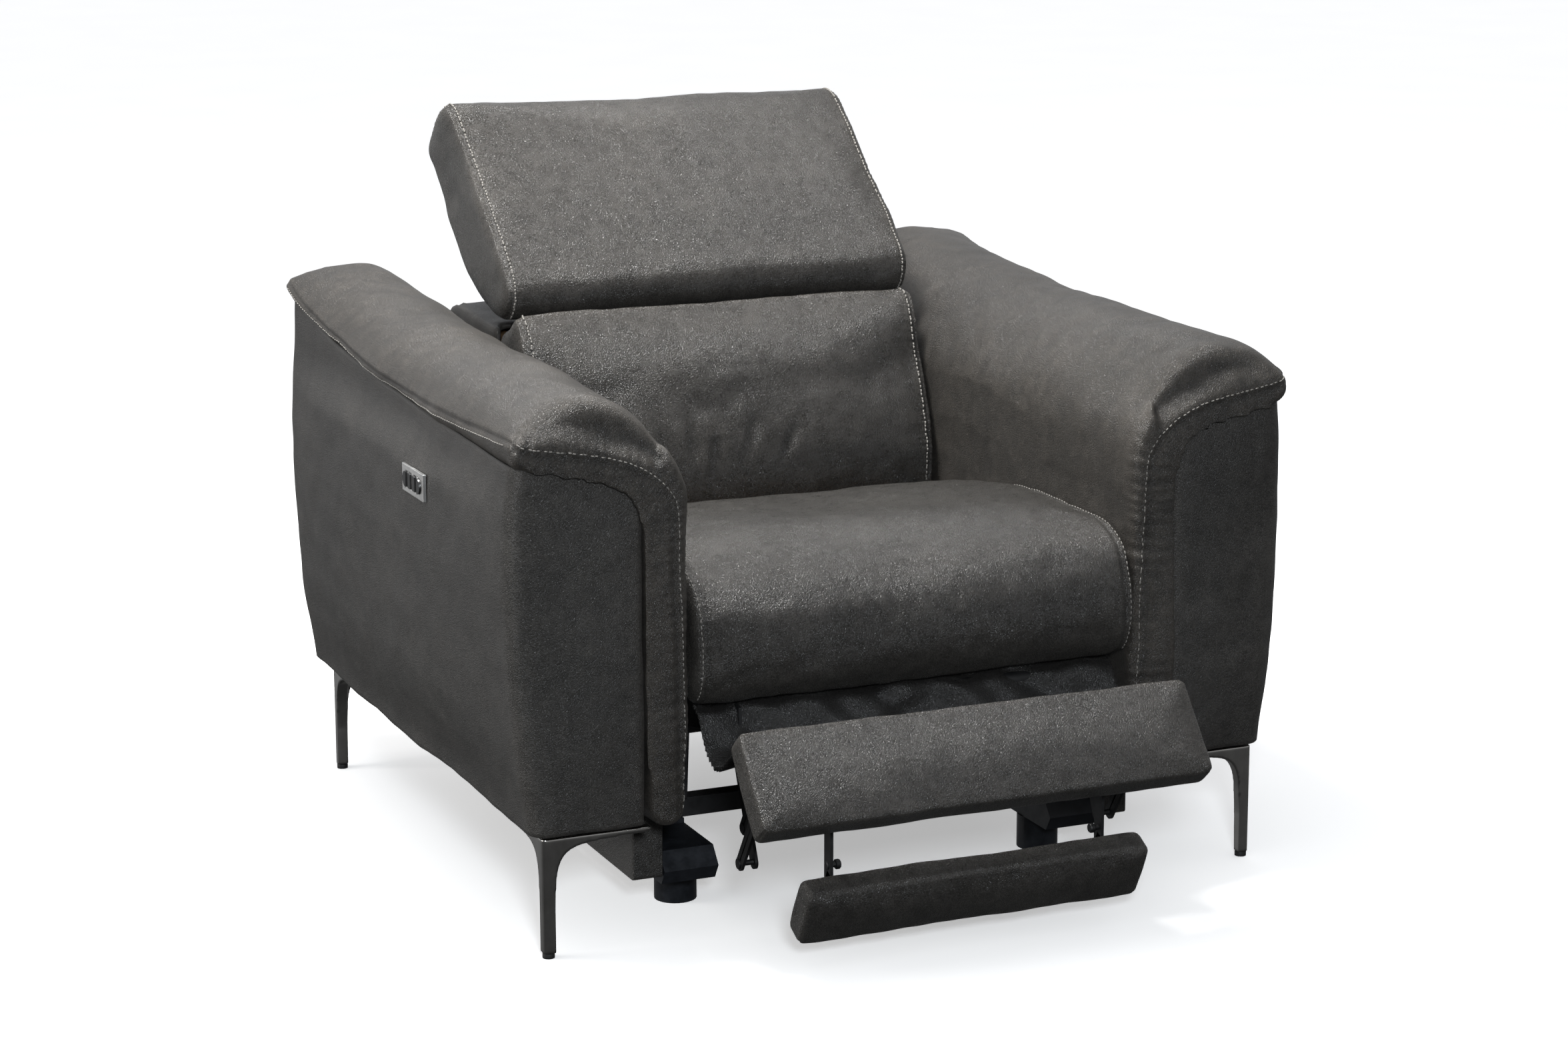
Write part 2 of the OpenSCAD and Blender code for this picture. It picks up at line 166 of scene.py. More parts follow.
def mesh_object(name, vertices, faces, outward=True):
    mesh = bpy.data.meshes.new(name)
    mesh.from_pydata([tuple(v) for v in vertices], [], faces)
    if outward:
        face_outward(mesh)
    return linked(name, mesh)


def ring_solid(name, rings):
    """A closed solid through rings that all have the same number of points."""
    count = len(rings[0])
    faces = []
    for r in range(len(rings) - 1):
        for i in range(count):
            j = (i + 1) % count
            faces.append((r * count + i, r * count + j, (r + 1) * count + j, (r + 1) * count + i))
    last = (len(rings) - 1) * count
    faces.append(tuple(range(count))[::-1])
    faces.append(tuple(range(last, last + count)))
    return mesh_object(name, np.concatenate(rings), faces)


def joined(name, objects):
    """One mesh of several, which are removed."""
    work = bmesh.new()
    for obj in objects:
        work.from_mesh(obj.data)
    mesh = bpy.data.meshes.new(name)
    work.to_mesh(mesh)
    work.free()
    for obj in objects:
        bpy.data.meshes.remove(obj.data)
    return linked(name, mesh)


def settled(obj):
    """The object's modifiers applied to its mesh."""
    graph = bpy.context.evaluated_depsgraph_get()
    mesh = bpy.data.meshes.new_from_object(obj.evaluated_get(graph))
    obj.modifiers.clear()
    old = obj.data
    obj.data = mesh
    mesh.name = obj.name
    bpy.data.meshes.remove(old)
    shaded_smooth(mesh)
    return obj


def remeshed(obj, voxel):
    modifier = obj.modifiers.new("voxels", "REMESH")
    modifier.mode = "VOXEL"
    modifier.voxel_size = voxel
    return settled(obj)


def subdivided(obj, levels=1):
    modifier = obj.modifiers.new("finer", "SUBSURF")
    modifier.levels = levels
    return settled(obj)


def edge_array(obj):
    flat = np.empty(len(obj.data.edges) * 2, np.int32)
    obj.data.edges.foreach_get("vertices", flat)
    return flat.reshape(-1, 2)


def neighbour_mean(values, edges):
    """The average over each vertex's neighbours."""
    total = np.zeros_like(values)
    count = np.bincount(edges.ravel(), minlength=len(values)).astype(float)
    for a, b in ((0, 1), (1, 0)):
        if values.ndim == 1:
            total += np.bincount(edges[:, a], weights=values[edges[:, b]], minlength=len(values))
        else:
            for k in range(values.shape[1]):
                total[:, k] += np.bincount(edges[:, a], weights=values[edges[:, b], k],
                                           minlength=len(values))
    count = np.maximum(count, 1)
    return total / (count if values.ndim == 1 else count[:, None])


def relaxed(obj, rounds):
    """Each vertex moved towards the average of its neighbours, several times."""
    points, edges = coords(obj), edge_array(obj)
    for _ in range(rounds):
        points += RELAX_SHARE * (neighbour_mean(points, edges) - points)
    set_coords(obj, points)
    return obj


def inflated(obj, held, rise):
    """Blows the closed mesh up as cloth and keeps the shape, with its fullest point moved by rise.
    held gives each point's pin weight, 1 where it rests on something or is sewn down."""
    start = coords(obj)
    weights = held(start)
    pins = obj.vertex_groups.new(name="pins")
    for level in np.unique(np.round(weights, 1)):
        if level > 0:
            chosen = np.flatnonzero(np.abs(weights - level) < 0.051)
            pins.add([int(i) for i in chosen], float(level), "REPLACE")
    cloth = obj.modifiers.new("air", "CLOTH")
    cloth.settings.vertex_group_mass = "pins"
    cloth.settings.quality = 4
    cloth.settings.use_pressure = True
    cloth.settings.uniform_pressure_force = AIR_PRESSURE
    cloth.settings.effector_weights.gravity = 0
    cloth.collision_settings.use_collision = False
    cloth.point_cache.frame_start = 1
    cloth.point_cache.frame_end = CLOTH_FRAMES
    scene = bpy.context.scene
    for step in range(1, CLOTH_FRAMES + 1):
        scene.frame_set(step)
    settled(obj)
    scene.frame_set(1)
    obj.vertex_groups.clear()
    moved = coords(obj) - start
    size = np.linalg.norm(moved, axis=1)
    if size.max() > 1e-6:
        fullest = np.quantile(size, 0.995)
        moved *= rise / fullest
        size *= rise / fullest
        moved *= (np.minimum(size, rise) / np.maximum(size, 1e-9))[:, None]
    set_coords(obj, start + moved)
    return obj


# ---------------------------------------------------------------- seams and folds
def ridges(along, pitch, seed):
    """Uneven ridges, 0 to 1, along a length: close together, of varying height, in loose groups."""
    draw = np.random.default_rng(seed)
    end = float(along.max()) + 4 * pitch
    knots = np.cumsum(draw.uniform(0.55, 1.45, int(end / pitch / 0.5)) * pitch * 0.5)
    heights = np.where(np.arange(len(knots)) % 2 == 0, draw.uniform(0.35, 1, len(knots)), 0)
    groups = np.interp(along, np.arange(0, end, 6 * pitch),
                       draw.uniform(0.25, 1, len(np.arange(0, end, 6 * pitch))))
    return np.interp(along, knots, heights) * groups


def near_line(points, line, reach):
    """For the points within reach of a line: their indices, distances and places along it."""
    line = resampled(line, 0.002)
    along = lengths_along(line)
    tree = KDTree(len(line))
    for i, p in enumerate(line):
        tree.insert(p, i)
    tree.balance()
    low, high = line.min(0) - reach, line.max(0) + reach
    inside = np.flatnonzero(np.all((points > low) & (points < high), axis=1))
    found = [tree.find(points[i]) for i in inside]
    distance = np.array([f[2] for f in found])
    nearest = np.array([f[1] for f in found], int)
    keep = distance < reach
    return inside[keep], distance[keep], along[nearest[keep]]


def sewn(obj, line, depth=0.0022, width=0.0028, pucker=0.0016, reach=0.02, pitch=0.008, seed=1):
    """Presses a sewn seam into the surface, with short gathers running away from it."""
    points, facing = coords(obj), normals(obj)
    line, _ = onto(surface_of(obj), resampled(line, 0.004))
    which, distance, along = near_line(points, line, reach * 2.2)
    if len(which) == 0:
        return obj
    groove = depth * np.exp(-(distance / width) ** 2)
    gathers = pucker * (1 - ridges(along, pitch, seed)) * np.exp(-(distance / reach) ** 1.5)
    gathers *= np.clip(distance / 0.003, 0, 1)
    points[which] -= facing[which] * (groove + gathers)[:, None]
    set_coords(obj, points)
    return obj


def creased(obj, line, depth, width, shoulder=0.5):
    """One soft fold along a line: a valley with a raised bank on each side, fading out at both ends."""
    points, facing = coords(obj), normals(obj)
    which, distance, along = near_line(points, line, width * 3.5)
    if len(which) == 0:
        return obj
    total = lengths_along(line)[-1]
    fade = np.sin(np.pi * np.clip(along / total, 0, 1)) ** 0.8
    x = distance / width
    shape = -np.exp(-x**2) + shoulder * x**2 * np.exp(-(x**2) * 0.8)
    points[which] += facing[which] * (depth * fade * shape)[:, None]
    set_coords(obj, points)
    return obj


def rumpled(obj, height, scale, seed, where=None):
    """Soft random hills, as leather over foam has."""
    points, facing = coords(obj), normals(obj)
    shift = Vector((seed * 3.1, seed * 1.7, seed * 5.3))
    hills = np.array([noise.noise(Vector(p) * scale + shift) for p in points])
    if where is not None:
        hills *= where(points)
    set_coords(obj, points + facing * (height * hills)[:, None])
    return obj


def worn_and_crease_shaded(obj):
    """Writes a per-point attribute for the leather: above 0 on ridges and edges, where the leather shows
    rubbing, below 0 in folds and seams, where it shows painted shade.
    """
    points, edges = coords(obj), edge_array(obj)
    bend = np.einsum("ij,ij->i", points - neighbour_mean(points, edges), normals(obj))
    for _ in range(2):
        bend = neighbour_mean(bend, edges)
    spread = np.quantile(np.abs(bend), 0.97) + 1e-9
    fine = np.clip(bend / spread, -1, 1)
    for _ in range(10):
        bend = neighbour_mean(bend, edges)
    spread = np.quantile(np.abs(bend), 0.97) + 1e-9
    broad = np.clip(bend / spread, -1, 1)
    # the negative part darkens folds and seams as painted shade; the positive part lightens rubbed ridges and
    # edges
    attribute = obj.data.attributes.new("wear_and_crease_shade", "FLOAT", "POINT")
    attribute.data.foreach_set("value", (0.5 * fine + 0.5 * broad).astype(np.float32))
    return obj


def surface_of(obj):
    graph = bpy.context.evaluated_depsgraph_get()
    return BVHTree.FromObject(obj, graph)


def onto(surface, line, lift=0.0):
    """The line laid on a surface, with the surface's normals."""
    placed, facing = [], []
    for p in line:
        spot, normal, _, _ = surface.find_nearest(Vector(p))
        placed.append(np.array(spot) + np.array(normal) * lift)
        facing.append(np.array(normal))
    return np.array(placed), np.array(facing)


def tube(path, radius, sides, taper):
    """Vertices and faces of a closed tube along a path, with the radius scaled by taper at each point."""
    path = np.asarray(path, float)
    along = np.gradient(path, axis=0)
    along /= np.maximum(np.linalg.norm(along, axis=1, keepdims=True), 1e-9)
    side = np.cross(along[0], [0.31, 0.52, 0.79])
    vertices, faces = [], []
    angles = np.linspace(0, 2 * math.pi, sides, endpoint=False)
    for k, (p, t) in enumerate(zip(path, along)):
        side = side - t * np.dot(side, t)
        side /= np.linalg.norm(side)
        other = np.cross(t, side)
        r = radius * taper[k]
        vertices += [p + r * (math.cos(a) * side + math.sin(a) * other) for a in angles]
    for k in range(len(path) - 1):
        for i in range(sides):
            j = (i + 1) % sides
            faces.append((k * sides + i, k * sides + j, (k + 1) * sides + j, (k + 1) * sides + i))
    faces.append(tuple(range(sides))[::-1])
    faces.append(tuple(range((len(path) - 1) * sides, len(path) * sides)))
    return vertices, faces


def stitched(name, obj, lines, step=STITCH_STEP, radius=THREAD_RADIUS):
    """A row of thread stitches on the object's surface along each line; the thread moves with the object."""
    surface = surface_of(obj)
    vertices, faces = [], []
    half = step * 0.32
    for line in lines:
        line = resampled(np.asarray(line), step)
        placed, facing = onto(surface, line)
        heading = np.gradient(placed, axis=0)
        heading /= np.maximum(np.linalg.norm(heading, axis=1, keepdims=True), 1e-9)
        for p, n, t in zip(placed, facing, heading):
            bow = [p - t * half - n * radius, p - t * half * 0.6 + n * radius * 0.7,
                   p + t * half * 0.6 + n * radius * 0.7, p + t * half - n * radius]
            made, quads = tube(bow, radius, 5, (0.6, 1, 1, 0.6))
            faces += [tuple(i + len(vertices) for i in quad) for quad in quads]
            vertices += made
    thread = mesh_object(name, vertices, faces)
    thread.data.materials.append(THREAD)
    return thread


def mirrored_points(line, side):
    return np.asarray(line) * np.array([side, 1, 1])


# ---------------------------------------------------------------- materials
def shader(name, **settings):
    """A Principled material; settings are its sockets' constant values."""
    material = bpy.data.materials.new(name)
    material.use_nodes = True
    tree = material.node_tree
    body = tree.nodes["Principled BSDF"]
    for key, value in settings.items():
        body.inputs[key.replace("_", " ")].default_value = value
    return material, tree, body


def node(tree, kind, inputs=None, **settings):
    made = tree.nodes.new("ShaderNode" + kind)
    for key, value in settings.items():
        setattr(made, key, value)
    for key, value in (inputs or {}).items():
        if isinstance(value, bpy.types.NodeSocket):
            tree.links.new(value, made.inputs[key])
        else:
            made.inputs[key].default_value = value
    return made


def noise_of(tree, where, scale, detail=4.0, roughness=0.6):
    made = node(tree, "TexNoise",
                {"Vector": where, "Scale": scale, "Detail": detail, "Roughness": roughness})
    return made.outputs["Fac"]


def blended(tree, a, b, share):
    """a and b mixed as numbers."""
    made = node(tree, "Mix", {0: share, 2: a, 3: b})
    return made.outputs[0]


def sum_of(tree, a, b, times=1.0):
    """a + b * times"""
    return node(tree, "Math", {0: b, 1: times, 2: a}, operation="MULTIPLY_ADD").outputs[0]


def ramp(tree, value, stops):
    made = node(tree, "ValToRGB", {"Fac": value})
    elements = made.color_ramp.elements
    while len(elements) < len(stops):
        elements.new(0.5)
    for element, (place, colour) in zip(elements, stops):
        element.position = place
        element.color = (*colour, 1) if len(colour) == 3 else colour
    return made.outputs["Color"]


def span(tree, value, low, high, start=0.0, end=1.0):
    made = node(tree, "MapRange", {"Value": value, 1: start, 2: end, 3: low, 4: high})
    return made.outputs["Result"]


def object_place(tree):
    return node(tree, "TexCoord").outputs["Object"]


def leather(name, dark, middle, light, shine=(0.4, 0.6), grain=1.0, sheen=0.04):
    """Rubbed, waxy leatherette: mottled, with a fine pebble grain, lighter and glossier on ridges, and darker
    in folds and seams, which is painted shade.
    """
    material, tree, body = shader(name)
    body.inputs["Sheen Weight"].default_value = sheen
    body.inputs["Sheen Roughness"].default_value = 0.5
    body.inputs["Sheen Tint"].default_value = (0.95, 0.93, 0.9, 1)
    body.inputs["IOR"].default_value = 1.45
    where = object_place(tree)
    # the attribute carries rubbing on ridges and painted shade in folds and seams
    wear_and_crease_shade = node(tree, "Attribute", attribute_name="wear_and_crease_shade").outputs["Fac"]
    clouds = noise_of(tree, where, 7, 5, 0.55)
    blotches = noise_of(tree, where, 55, 9, 0.72)
    flecks = noise_of(tree, where, 420, 3, 0.7)
    cells = node(tree, "TexVoronoi", {"Vector": where, "Scale": 640.0, "Randomness": 1.0},
                 feature="DISTANCE_TO_EDGE").outputs["Distance"]
    warped = node(tree, "TexVoronoi", {"Vector": where, "Scale": 260.0, "Randomness": 1.0},
                  feature="DISTANCE_TO_EDGE").outputs["Distance"]
    tone = blended(tree, clouds, blotches, 0.62)
    tone = blended(tree, tone, flecks, 0.42)
    # lighter on rubbed ridges, darker in folds and seams: painted shade
    tone = sum_of(tree, tone, wear_and_crease_shade, 0.06)
    colour = ramp(tree, tone, [(0.38, dark), (0.50, middle), (0.66, light)])
    cracks = span(tree, warped, 0.72, 1.0, 0.0, 0.09)
    tinted = node(tree, "Mix", {0: 1.0, 6: colour, 7: cracks}, data_type="RGBA", blend_type="MULTIPLY")
    tree.links.new(tinted.outputs[2], body.inputs["Base Color"])
    gloss = sum_of(tree, blended(tree, blotches, flecks, 0.6), wear_and_crease_shade, -0.04)
    tree.links.new(span(tree, gloss, shine[0], shine[1], 0.35, 0.68), body.inputs["Roughness"])
    height = sum_of(tree, span(tree, cells, 0, 1, 0, 0.25), span(tree, warped, 0, 1, 0, 0.16), 0.9)
    height = sum_of(tree, height, flecks, 0.6)
    pebbles = node(tree, "Bump", {"Height": height, "Strength": 0.55 * grain, "Distance": 0.0007})
    folds = node(tree, "Bump", {"Height": blotches, "Strength": 0.13, "Distance": 0.003,
                                "Normal": pebbles.outputs[0]})
    tree.links.new(folds.outputs[0], body.inputs["Normal"])
    return material


def scaled(colour, times):
    return tuple(times * c for c in colour)


def metal(name, colour, rough, streaks, amount=0.06, anisotropic=0.0):
    """Metal with faint streaks and smudges. streaks stretches the pattern along an axis."""
    material, tree, body = shader(name, Metallic=1.0)
    body.inputs["Base Color"].default_value = (*colour, 1)
    body.inputs["Anisotropic"].default_value = anisotropic
    where = node(tree, "Mapping", {"Vector": object_place(tree), "Scale": streaks}).outputs[0]
    lines = noise_of(tree, where, 1, 5, 0.6)
    smudge = noise_of(tree, object_place(tree), 45, 4, 0.6)
    mixed = blended(tree, lines, smudge, 0.45)
    tree.links.new(span(tree, mixed, rough - amount, rough + amount, 0.3, 0.7), body.inputs["Roughness"])
    shade = ramp(tree, mixed, [(0.3, scaled(colour, 0.82)), (0.7, scaled(colour, 1.12))])
    tree.links.new(shade, body.inputs["Base Color"])
    relief = node(tree, "Bump", {"Height": lines, "Strength": 0.08, "Distance": 0.0002})
    tree.links.new(relief.outputs[0], body.inputs["Normal"])
    return material


def coated(name, colour, rough, grain=500.0, strength=0.12, metallic=0.0):
    """Paint or moulded plastic: fine orange-peel grain, dust and slight rub marks."""
    material, tree, body = shader(name, Metallic=metallic)
    where = object_place(tree)
    dust = noise_of(tree, where, 60, 6, 0.65)
    peel = noise_of(tree, where, grain, 2, 0.5)
    shade = ramp(tree, dust, [(0.35, scaled(colour, 0.75)), (0.7, scaled(colour, 1.5))])
    tree.links.new(shade, body.inputs["Base Color"])
    tree.links.new(span(tree, dust, rough - 0.08, rough + 0.1, 0.3, 0.7), body.inputs["Roughness"])
    relief = node(tree, "Bump", {"Height": peel, "Strength": strength, "Distance": 0.0004})
    tree.links.new(relief.outputs[0], body.inputs["Normal"])
    return material


def plywood(name):
    material, tree, body = shader(name, Roughness=0.6)
    where = node(tree, "Mapping", {"Vector": object_place(tree), "Scale": (60, 8, 60)}).outputs[0]
    grain = noise_of(tree, where, 1, 6, 0.6)
    tree.links.new(ramp(tree, grain, [(0.35, (0.30, 0.17, 0.08)), (0.65, (0.52, 0.34, 0.18))]),
                   body.inputs["Base Color"])
    relief = node(tree, "Bump", {"Height": grain, "Strength": 0.2, "Distance": 0.0005})
    tree.links.new(relief.outputs[0], body.inputs["Normal"])
    return material


THREAD, thread_tree, thread_body = shader("thread", Roughness=0.55)
twist = noise_of(thread_tree, object_place(thread_tree), 900, 2, 0.5)
thread_tree.links.new(ramp(thread_tree, twist, [(0.3, (0.10, 0.095, 0.086)), (0.7, (0.27, 0.255, 0.235))]),
                      thread_body.inputs["Base Color"])

DARK, MIDDLE, LIGHT = (0.012, 0.0109, 0.0095), (0.024, 0.0219, 0.0193), (0.054, 0.0495, 0.0440)
CUSHION = leather("cushion_leather", DARK, MIDDLE, LIGHT, (0.22, 0.38))
CAP = leather("cap_leather", DARK, (0.026, 0.0228, 0.0192), (0.058, 0.0505, 0.042), (0.30, 0.48))
OUTER = leather("outer_leather", DARK, MIDDLE, LIGHT, (0.34, 0.50), 0.9)
SKIRT = leather("skirt_leather", (0.005, 0.0048, 0.0045), (0.009, 0.0085, 0.008), (0.018, 0.017, 0.016),
                (0.24, 0.42), 0.8, 0.03)
LEG = metal("gunmetal", (0.62, 0.60, 0.57), 0.16, (40, 40, 3), 0.06)
PLATE = metal("brushed_plate", (0.72, 0.72, 0.71), 0.36, (900, 12, 900), 0.06, 0.4)
BUTTON = metal("button_metal", (0.10, 0.10, 0.10), 0.34, (400, 400, 30), 0.05)
STEEL = metal("spring_steel", (0.16, 0.16, 0.16), 0.4, (80, 80, 80), 0.08)
BLACK_STEEL = coated("black_steel", (0.006, 0.006, 0.0065), 0.5, 700, 0.14)
BLACK_PLASTIC = coated("black_plastic", (0.009, 0.009, 0.0095), 0.5)
STAND_PLASTIC = coated("stand_plastic", (0.009, 0.0105, 0.0135), 0.42, 900, 0.1)
GLIDE = coated("glide_plastic", (0.01, 0.01, 0.01), 0.55)
WOOD = plywood("plywood")

SLOT_MATERIALS = {
    "wood": WOOD, "outer_leather": OUTER, "cap_leather": CAP, "cushion_leather": CUSHION,
    "skirt_leather": SKIRT, "leg_metal": LEG, "glide_plastic": GLIDE, "black_steel": BLACK_STEEL,
    "stand_plastic": STAND_PLASTIC, "spring_steel": STEEL, "black_plastic": BLACK_PLASTIC,
    "panel_metal": PLATE, "button_metal": BUTTON,
}


def dress(obj, material):
    obj.data.materials.clear()
    obj.data.materials.append(material)
    return obj


def finish_cad_nodes():
    """Every CAD node that still shows gets its material, and a small bevel so that its edges catch light."""
    bevels = {"leg_metal": 0.0022, "panel_metal": 0.0012, "button_metal": 0.0008, "stand_plastic": 0.003,
              "black_steel": 0.0008, "wood": 0.002, "spring_steel": 0.0007, "black_plastic": 0.0018,
              "glide_plastic": 0.0012, "outer_leather": 0.004}
    for part in frame["record"]["subparts"]:
        obj, slot = frame["nodes"][part["node"]], part["material_slot"]
        obj.data.materials.clear()
        obj.data.materials.append(SLOT_MATERIALS[slot])
        if obj.hide_render or slot not in bevels:
            continue
        weld = obj.modifiers.new("weld", "WELD")
        weld.merge_threshold = 0.00002
        bevel = obj.modifiers.new("edges", "BEVEL")
        bevel.width = bevels[slot]
        bevel.segments = 3
        bevel.limit_method = "ANGLE"
        bevel.angle_limit = math.radians(38)
        bevel.harden_normals = False


# ---------------------------------------------------------------- cushions
def side_cushion(name, outline, half, edge, voxel):
    """A cushion from its side outline: the same outline across, rolling in by edge at both ends."""
    rings = []
    angles = np.linspace(0, math.pi / 2, ROUNDING_STEPS)
    stations = [(-(half - edge + edge * math.sin(a)), edge * (1 - math.cos(a))) for a in angles[::-1]]
    stations += [(-x, depth) for x, depth in stations[::-1]]
    for x, depth in stations:
        flat = inset(outline, depth)
        rings.append(np.column_stack([np.full(len(flat), x), flat]))
    return remeshed(ring_solid(name, rings), voxel)


def side_line(points, x):
    """A line of side view points at x."""
    points = np.asarray(points)
    return np.column_stack([np.full(len(points), x), points])


def faces_of_seat():
    """The seat's upper outline from its rear over the front edge to the underside."""
    low, high = SEAT_LOW * 1000, SEAT_HIGH * 1000
    top, front = high.z, low.y
    return mm([(146, top - 52), (100, top - 39), (40, top - 26), (-60, top - 9), (-150, top), (-270, top + 1),
               (-335, top - 3), (-368, top - 14), (-391, top - 35), (front + 6, top - 67),
               (front + 1, top - 101),
               (front + 4, top - 134), (-392, top - 162), (-380, low.z + 6), (-366, low.z + 1)])


def seat_pad():
    half = BAY - 0.002
    upper = curve_through(faces_of_seat(), 0.006)
    under = mm([(-352, 289), (-352, 312), (0, 312), (150, 312)])
    outline = np.vstack([upper, under])
    pad = side_cushion("seat_pad", inset(outline, 0.003), half, 0.014, 0.0065)
    seam_x = half - 0.014

    def held(points):
        bottom = points[:, 2] < 0.316
        rear = points[:, 1] > 0.135
        ends = np.abs(points[:, 0]) > seam_x - 0.004
        return np.where((bottom & (points[:, 1] > -0.36)) | rear | ends, 1.0, 0.0)

    inflated(pad, held, 0.013)
    subdivided(relaxed(pad, 2))
    for k, x in enumerate((-0.10, -0.074, -0.046, -0.018, 0.004, 0.040, 0.072)):
        drift = 0.006 * math.sin(3.1 * k)
        line = mm([(-376, 446), (-394, 428), (-404, 402), (-409, 372)])
        line = curve_through(side_line(line, x) + np.array([0, -0.004, 0]), 0.004)
        line[:, 0] += np.linspace(drift, -drift + 0.012, len(line))
        line = line[int(len(line) * (0.05 + 0.08 * (k % 3))):int(len(line) * (0.92 - 0.1 * (k % 2)))]
        creased(pad, line, 0.0022 + 0.0012 * (k % 3), 0.0075)
    rumpled(pad, 0.0035, 9, 1)
    rumpled(pad, 0.0012, 34, 2)
    lines = []
    for side in (LEFT, RIGHT):
        seam = side_line(upper[2:-2], side * seam_x)
        sewn(pad, seam, 0.0030, 0.0030, 0.0011, 0.012, 0.010, 11 + side)
        lines.append(side_line(inset_open(upper[4:-4], 0.004), side * (seam_x + 0.0075)))
    keep_between(pad, BAY - 0.0012)
    worn_and_crease_shaded(pad)
    dress(pad, CUSHION)
    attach(pad, "chair")
    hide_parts("seat_cushion")
    thread = stitched("seat_stitches", pad, lines)
    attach(thread, "chair")


def inset_open(points, distance):
    """An open side view line moved to the left of its direction of travel."""
    along = np.gradient(points, axis=0)
    along /= np.linalg.norm(along, axis=1, keepdims=True)
    return points + np.stack([-along[:, 1], along[:, 0]], 1) * distance


def smooth(value):
    """0 to 1 with a soft start and end."""
    value = np.clip(value, 0, 1)
    return value * value * (3 - 2 * value)


def keep_between(obj, half):
    """No point further out than half in X."""
    points = coords(obj)
    points[:, 0] = np.clip(points[:, 0], -half, half)
    set_coords(obj, points)


HEAD_PIVOT = np.array([0.308, 0.700])


def back_pad():
    half = BACK_HALF
    front = curve_through(mm([(196, 366), (176, 386), (164, 415), (165, 468), (175, 512), (186, 556),
                              (202, 590), (211, 622), (222, 648), (236, 666), (249, 675), (261, 677)]), 0.006)
    saddle = arc(HEAD_PIVOT, 0.051, 210, 262, 9)
    rear = mm([(318, 641), (322, 616), (252, 384), (244, 364)])
    outline = np.vstack([front, saddle, rear])
    pad = side_cushion("back_pad", inset(outline, 0.003), half, 0.011, 0.0065)
    seam_x = half - 0.006

    def held(points):
        y, z = points[:, 1], points[:, 2]
        behind = y > 0.252 + (z - 0.384) * 0.3017 - 0.012
        top = np.hypot(y - HEAD_PIVOT[0], z - HEAD_PIVOT[1]) < 0.058
        ends = np.abs(points[:, 0]) > seam_x
        low = z < 0.372
        return np.where(behind | top | ends | low, 1.0, 0.0)

    inflated(pad, held, 0.016)
    subdivided(relaxed(pad, 2))
    folds = [(-0.118, 462, 556, 24), (-0.072, 448, 540, 8), (-0.040, 440, 505, -6), (0.012, 452, 528, -22),
             (0.066, 446, 512, -30)]
    for k, (x, low, high, tilt) in enumerate(folds):
        heights = np.linspace(low, high, 6) / 1000
        y = np.interp(heights, front[:, 1], front[:, 0]) - 0.012
        xs = x + np.linspace(tilt / 2000, -tilt / 2000, 6)
        creased(pad, np.column_stack([xs, y, heights]), 0.0026 + 0.0013 * (k % 3), 0.011)
    rumpled(pad, 0.0040, 8, 3)
    rumpled(pad, 0.0013, 30, 4)
    lines = []
    for side in (LEFT, RIGHT):
        seam = side_line(front[2:], side * seam_x)
        sewn(pad, seam, 0.0034, 0.0030, 0.0022, 0.022, 0.0095, 21 + side)
        lines.append(side_line(front[3:], side * (seam_x - 0.0062)))
    points = coords(pad)
    away = points[:, 1:] - HEAD_PIVOT
    reach = np.linalg.norm(away, axis=1)
    close = reach < 0.0495
    points[close, 1:] = HEAD_PIVOT + away[close] / reach[close, None] * 0.0495
    set_coords(pad, points)
    keep_between(pad, BAY - 0.0035)
    worn_and_crease_shaded(pad)
    dress(pad, CUSHION)
    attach(pad, "backrest")
    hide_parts("back_cushion")
    thread = stitched("back_stitches", pad, lines, BEAD_STEP, BEAD_RADIUS)
    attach(thread, "backrest")


def head_pad():
    half = BAY - 0.0015
    roll = arc(HEAD_PIVOT, 0.047, 283, 140, 22)
    front = curve_through(mm([(272, 729), (300, 757), (350, 802), (400, 845), (450, 888), (492, 921),
                              (512, 930),
                              (532, 931), (556, 919), (584, 897), (604, 875), (610, 858), (604, 841),
                              (585, 827),
                              (545, 792), (509, 752), (450, 704), (400, 676), (360, 661), (330, 655)]), 0.006)
    outline = np.vstack([roll, front])
    pad = side_cushion("headrest_pad_soft", inset(outline, 0.003), half, 0.012, 0.0065)
    seam_x = half - 0.0045

    def held(points):
        y, z = points[:, 1], points[:, 2]
        near_roll = np.hypot(y - HEAD_PIVOT[0], z - HEAD_PIVOT[1]) < 0.052
        ends = np.abs(points[:, 0]) > seam_x - 0.003
        return np.where(near_roll, 1.0, np.where(ends, 0.8, 0.0))

    inflated(pad, held, 0.012)
    subdivided(relaxed(pad, 2))
    rumpled(pad, 0.0040, 8, 5)
    rumpled(pad, 0.0012, 32, 6)
    lines = []
    for side in (LEFT, RIGHT):
        loop = np.vstack([roll[4:], front[:72]])
        seam = side_line(loop, side * seam_x)
        sewn(pad, seam, 0.0034, 0.0030, 0.0021, 0.021, 0.009, 31 + side)
        lines.append(side_line(loop[2:], side * (seam_x - 0.0062)))
    keep_between(pad, BAY - 0.001)
    worn_and_crease_shaded(pad)
    dress(pad, CUSHION)
    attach(pad, "headrest")
    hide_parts("headrest_pad")
    thread = stitched("headrest_stitches", pad, lines, BEAD_STEP, BEAD_RADIUS)
    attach(thread, "headrest")


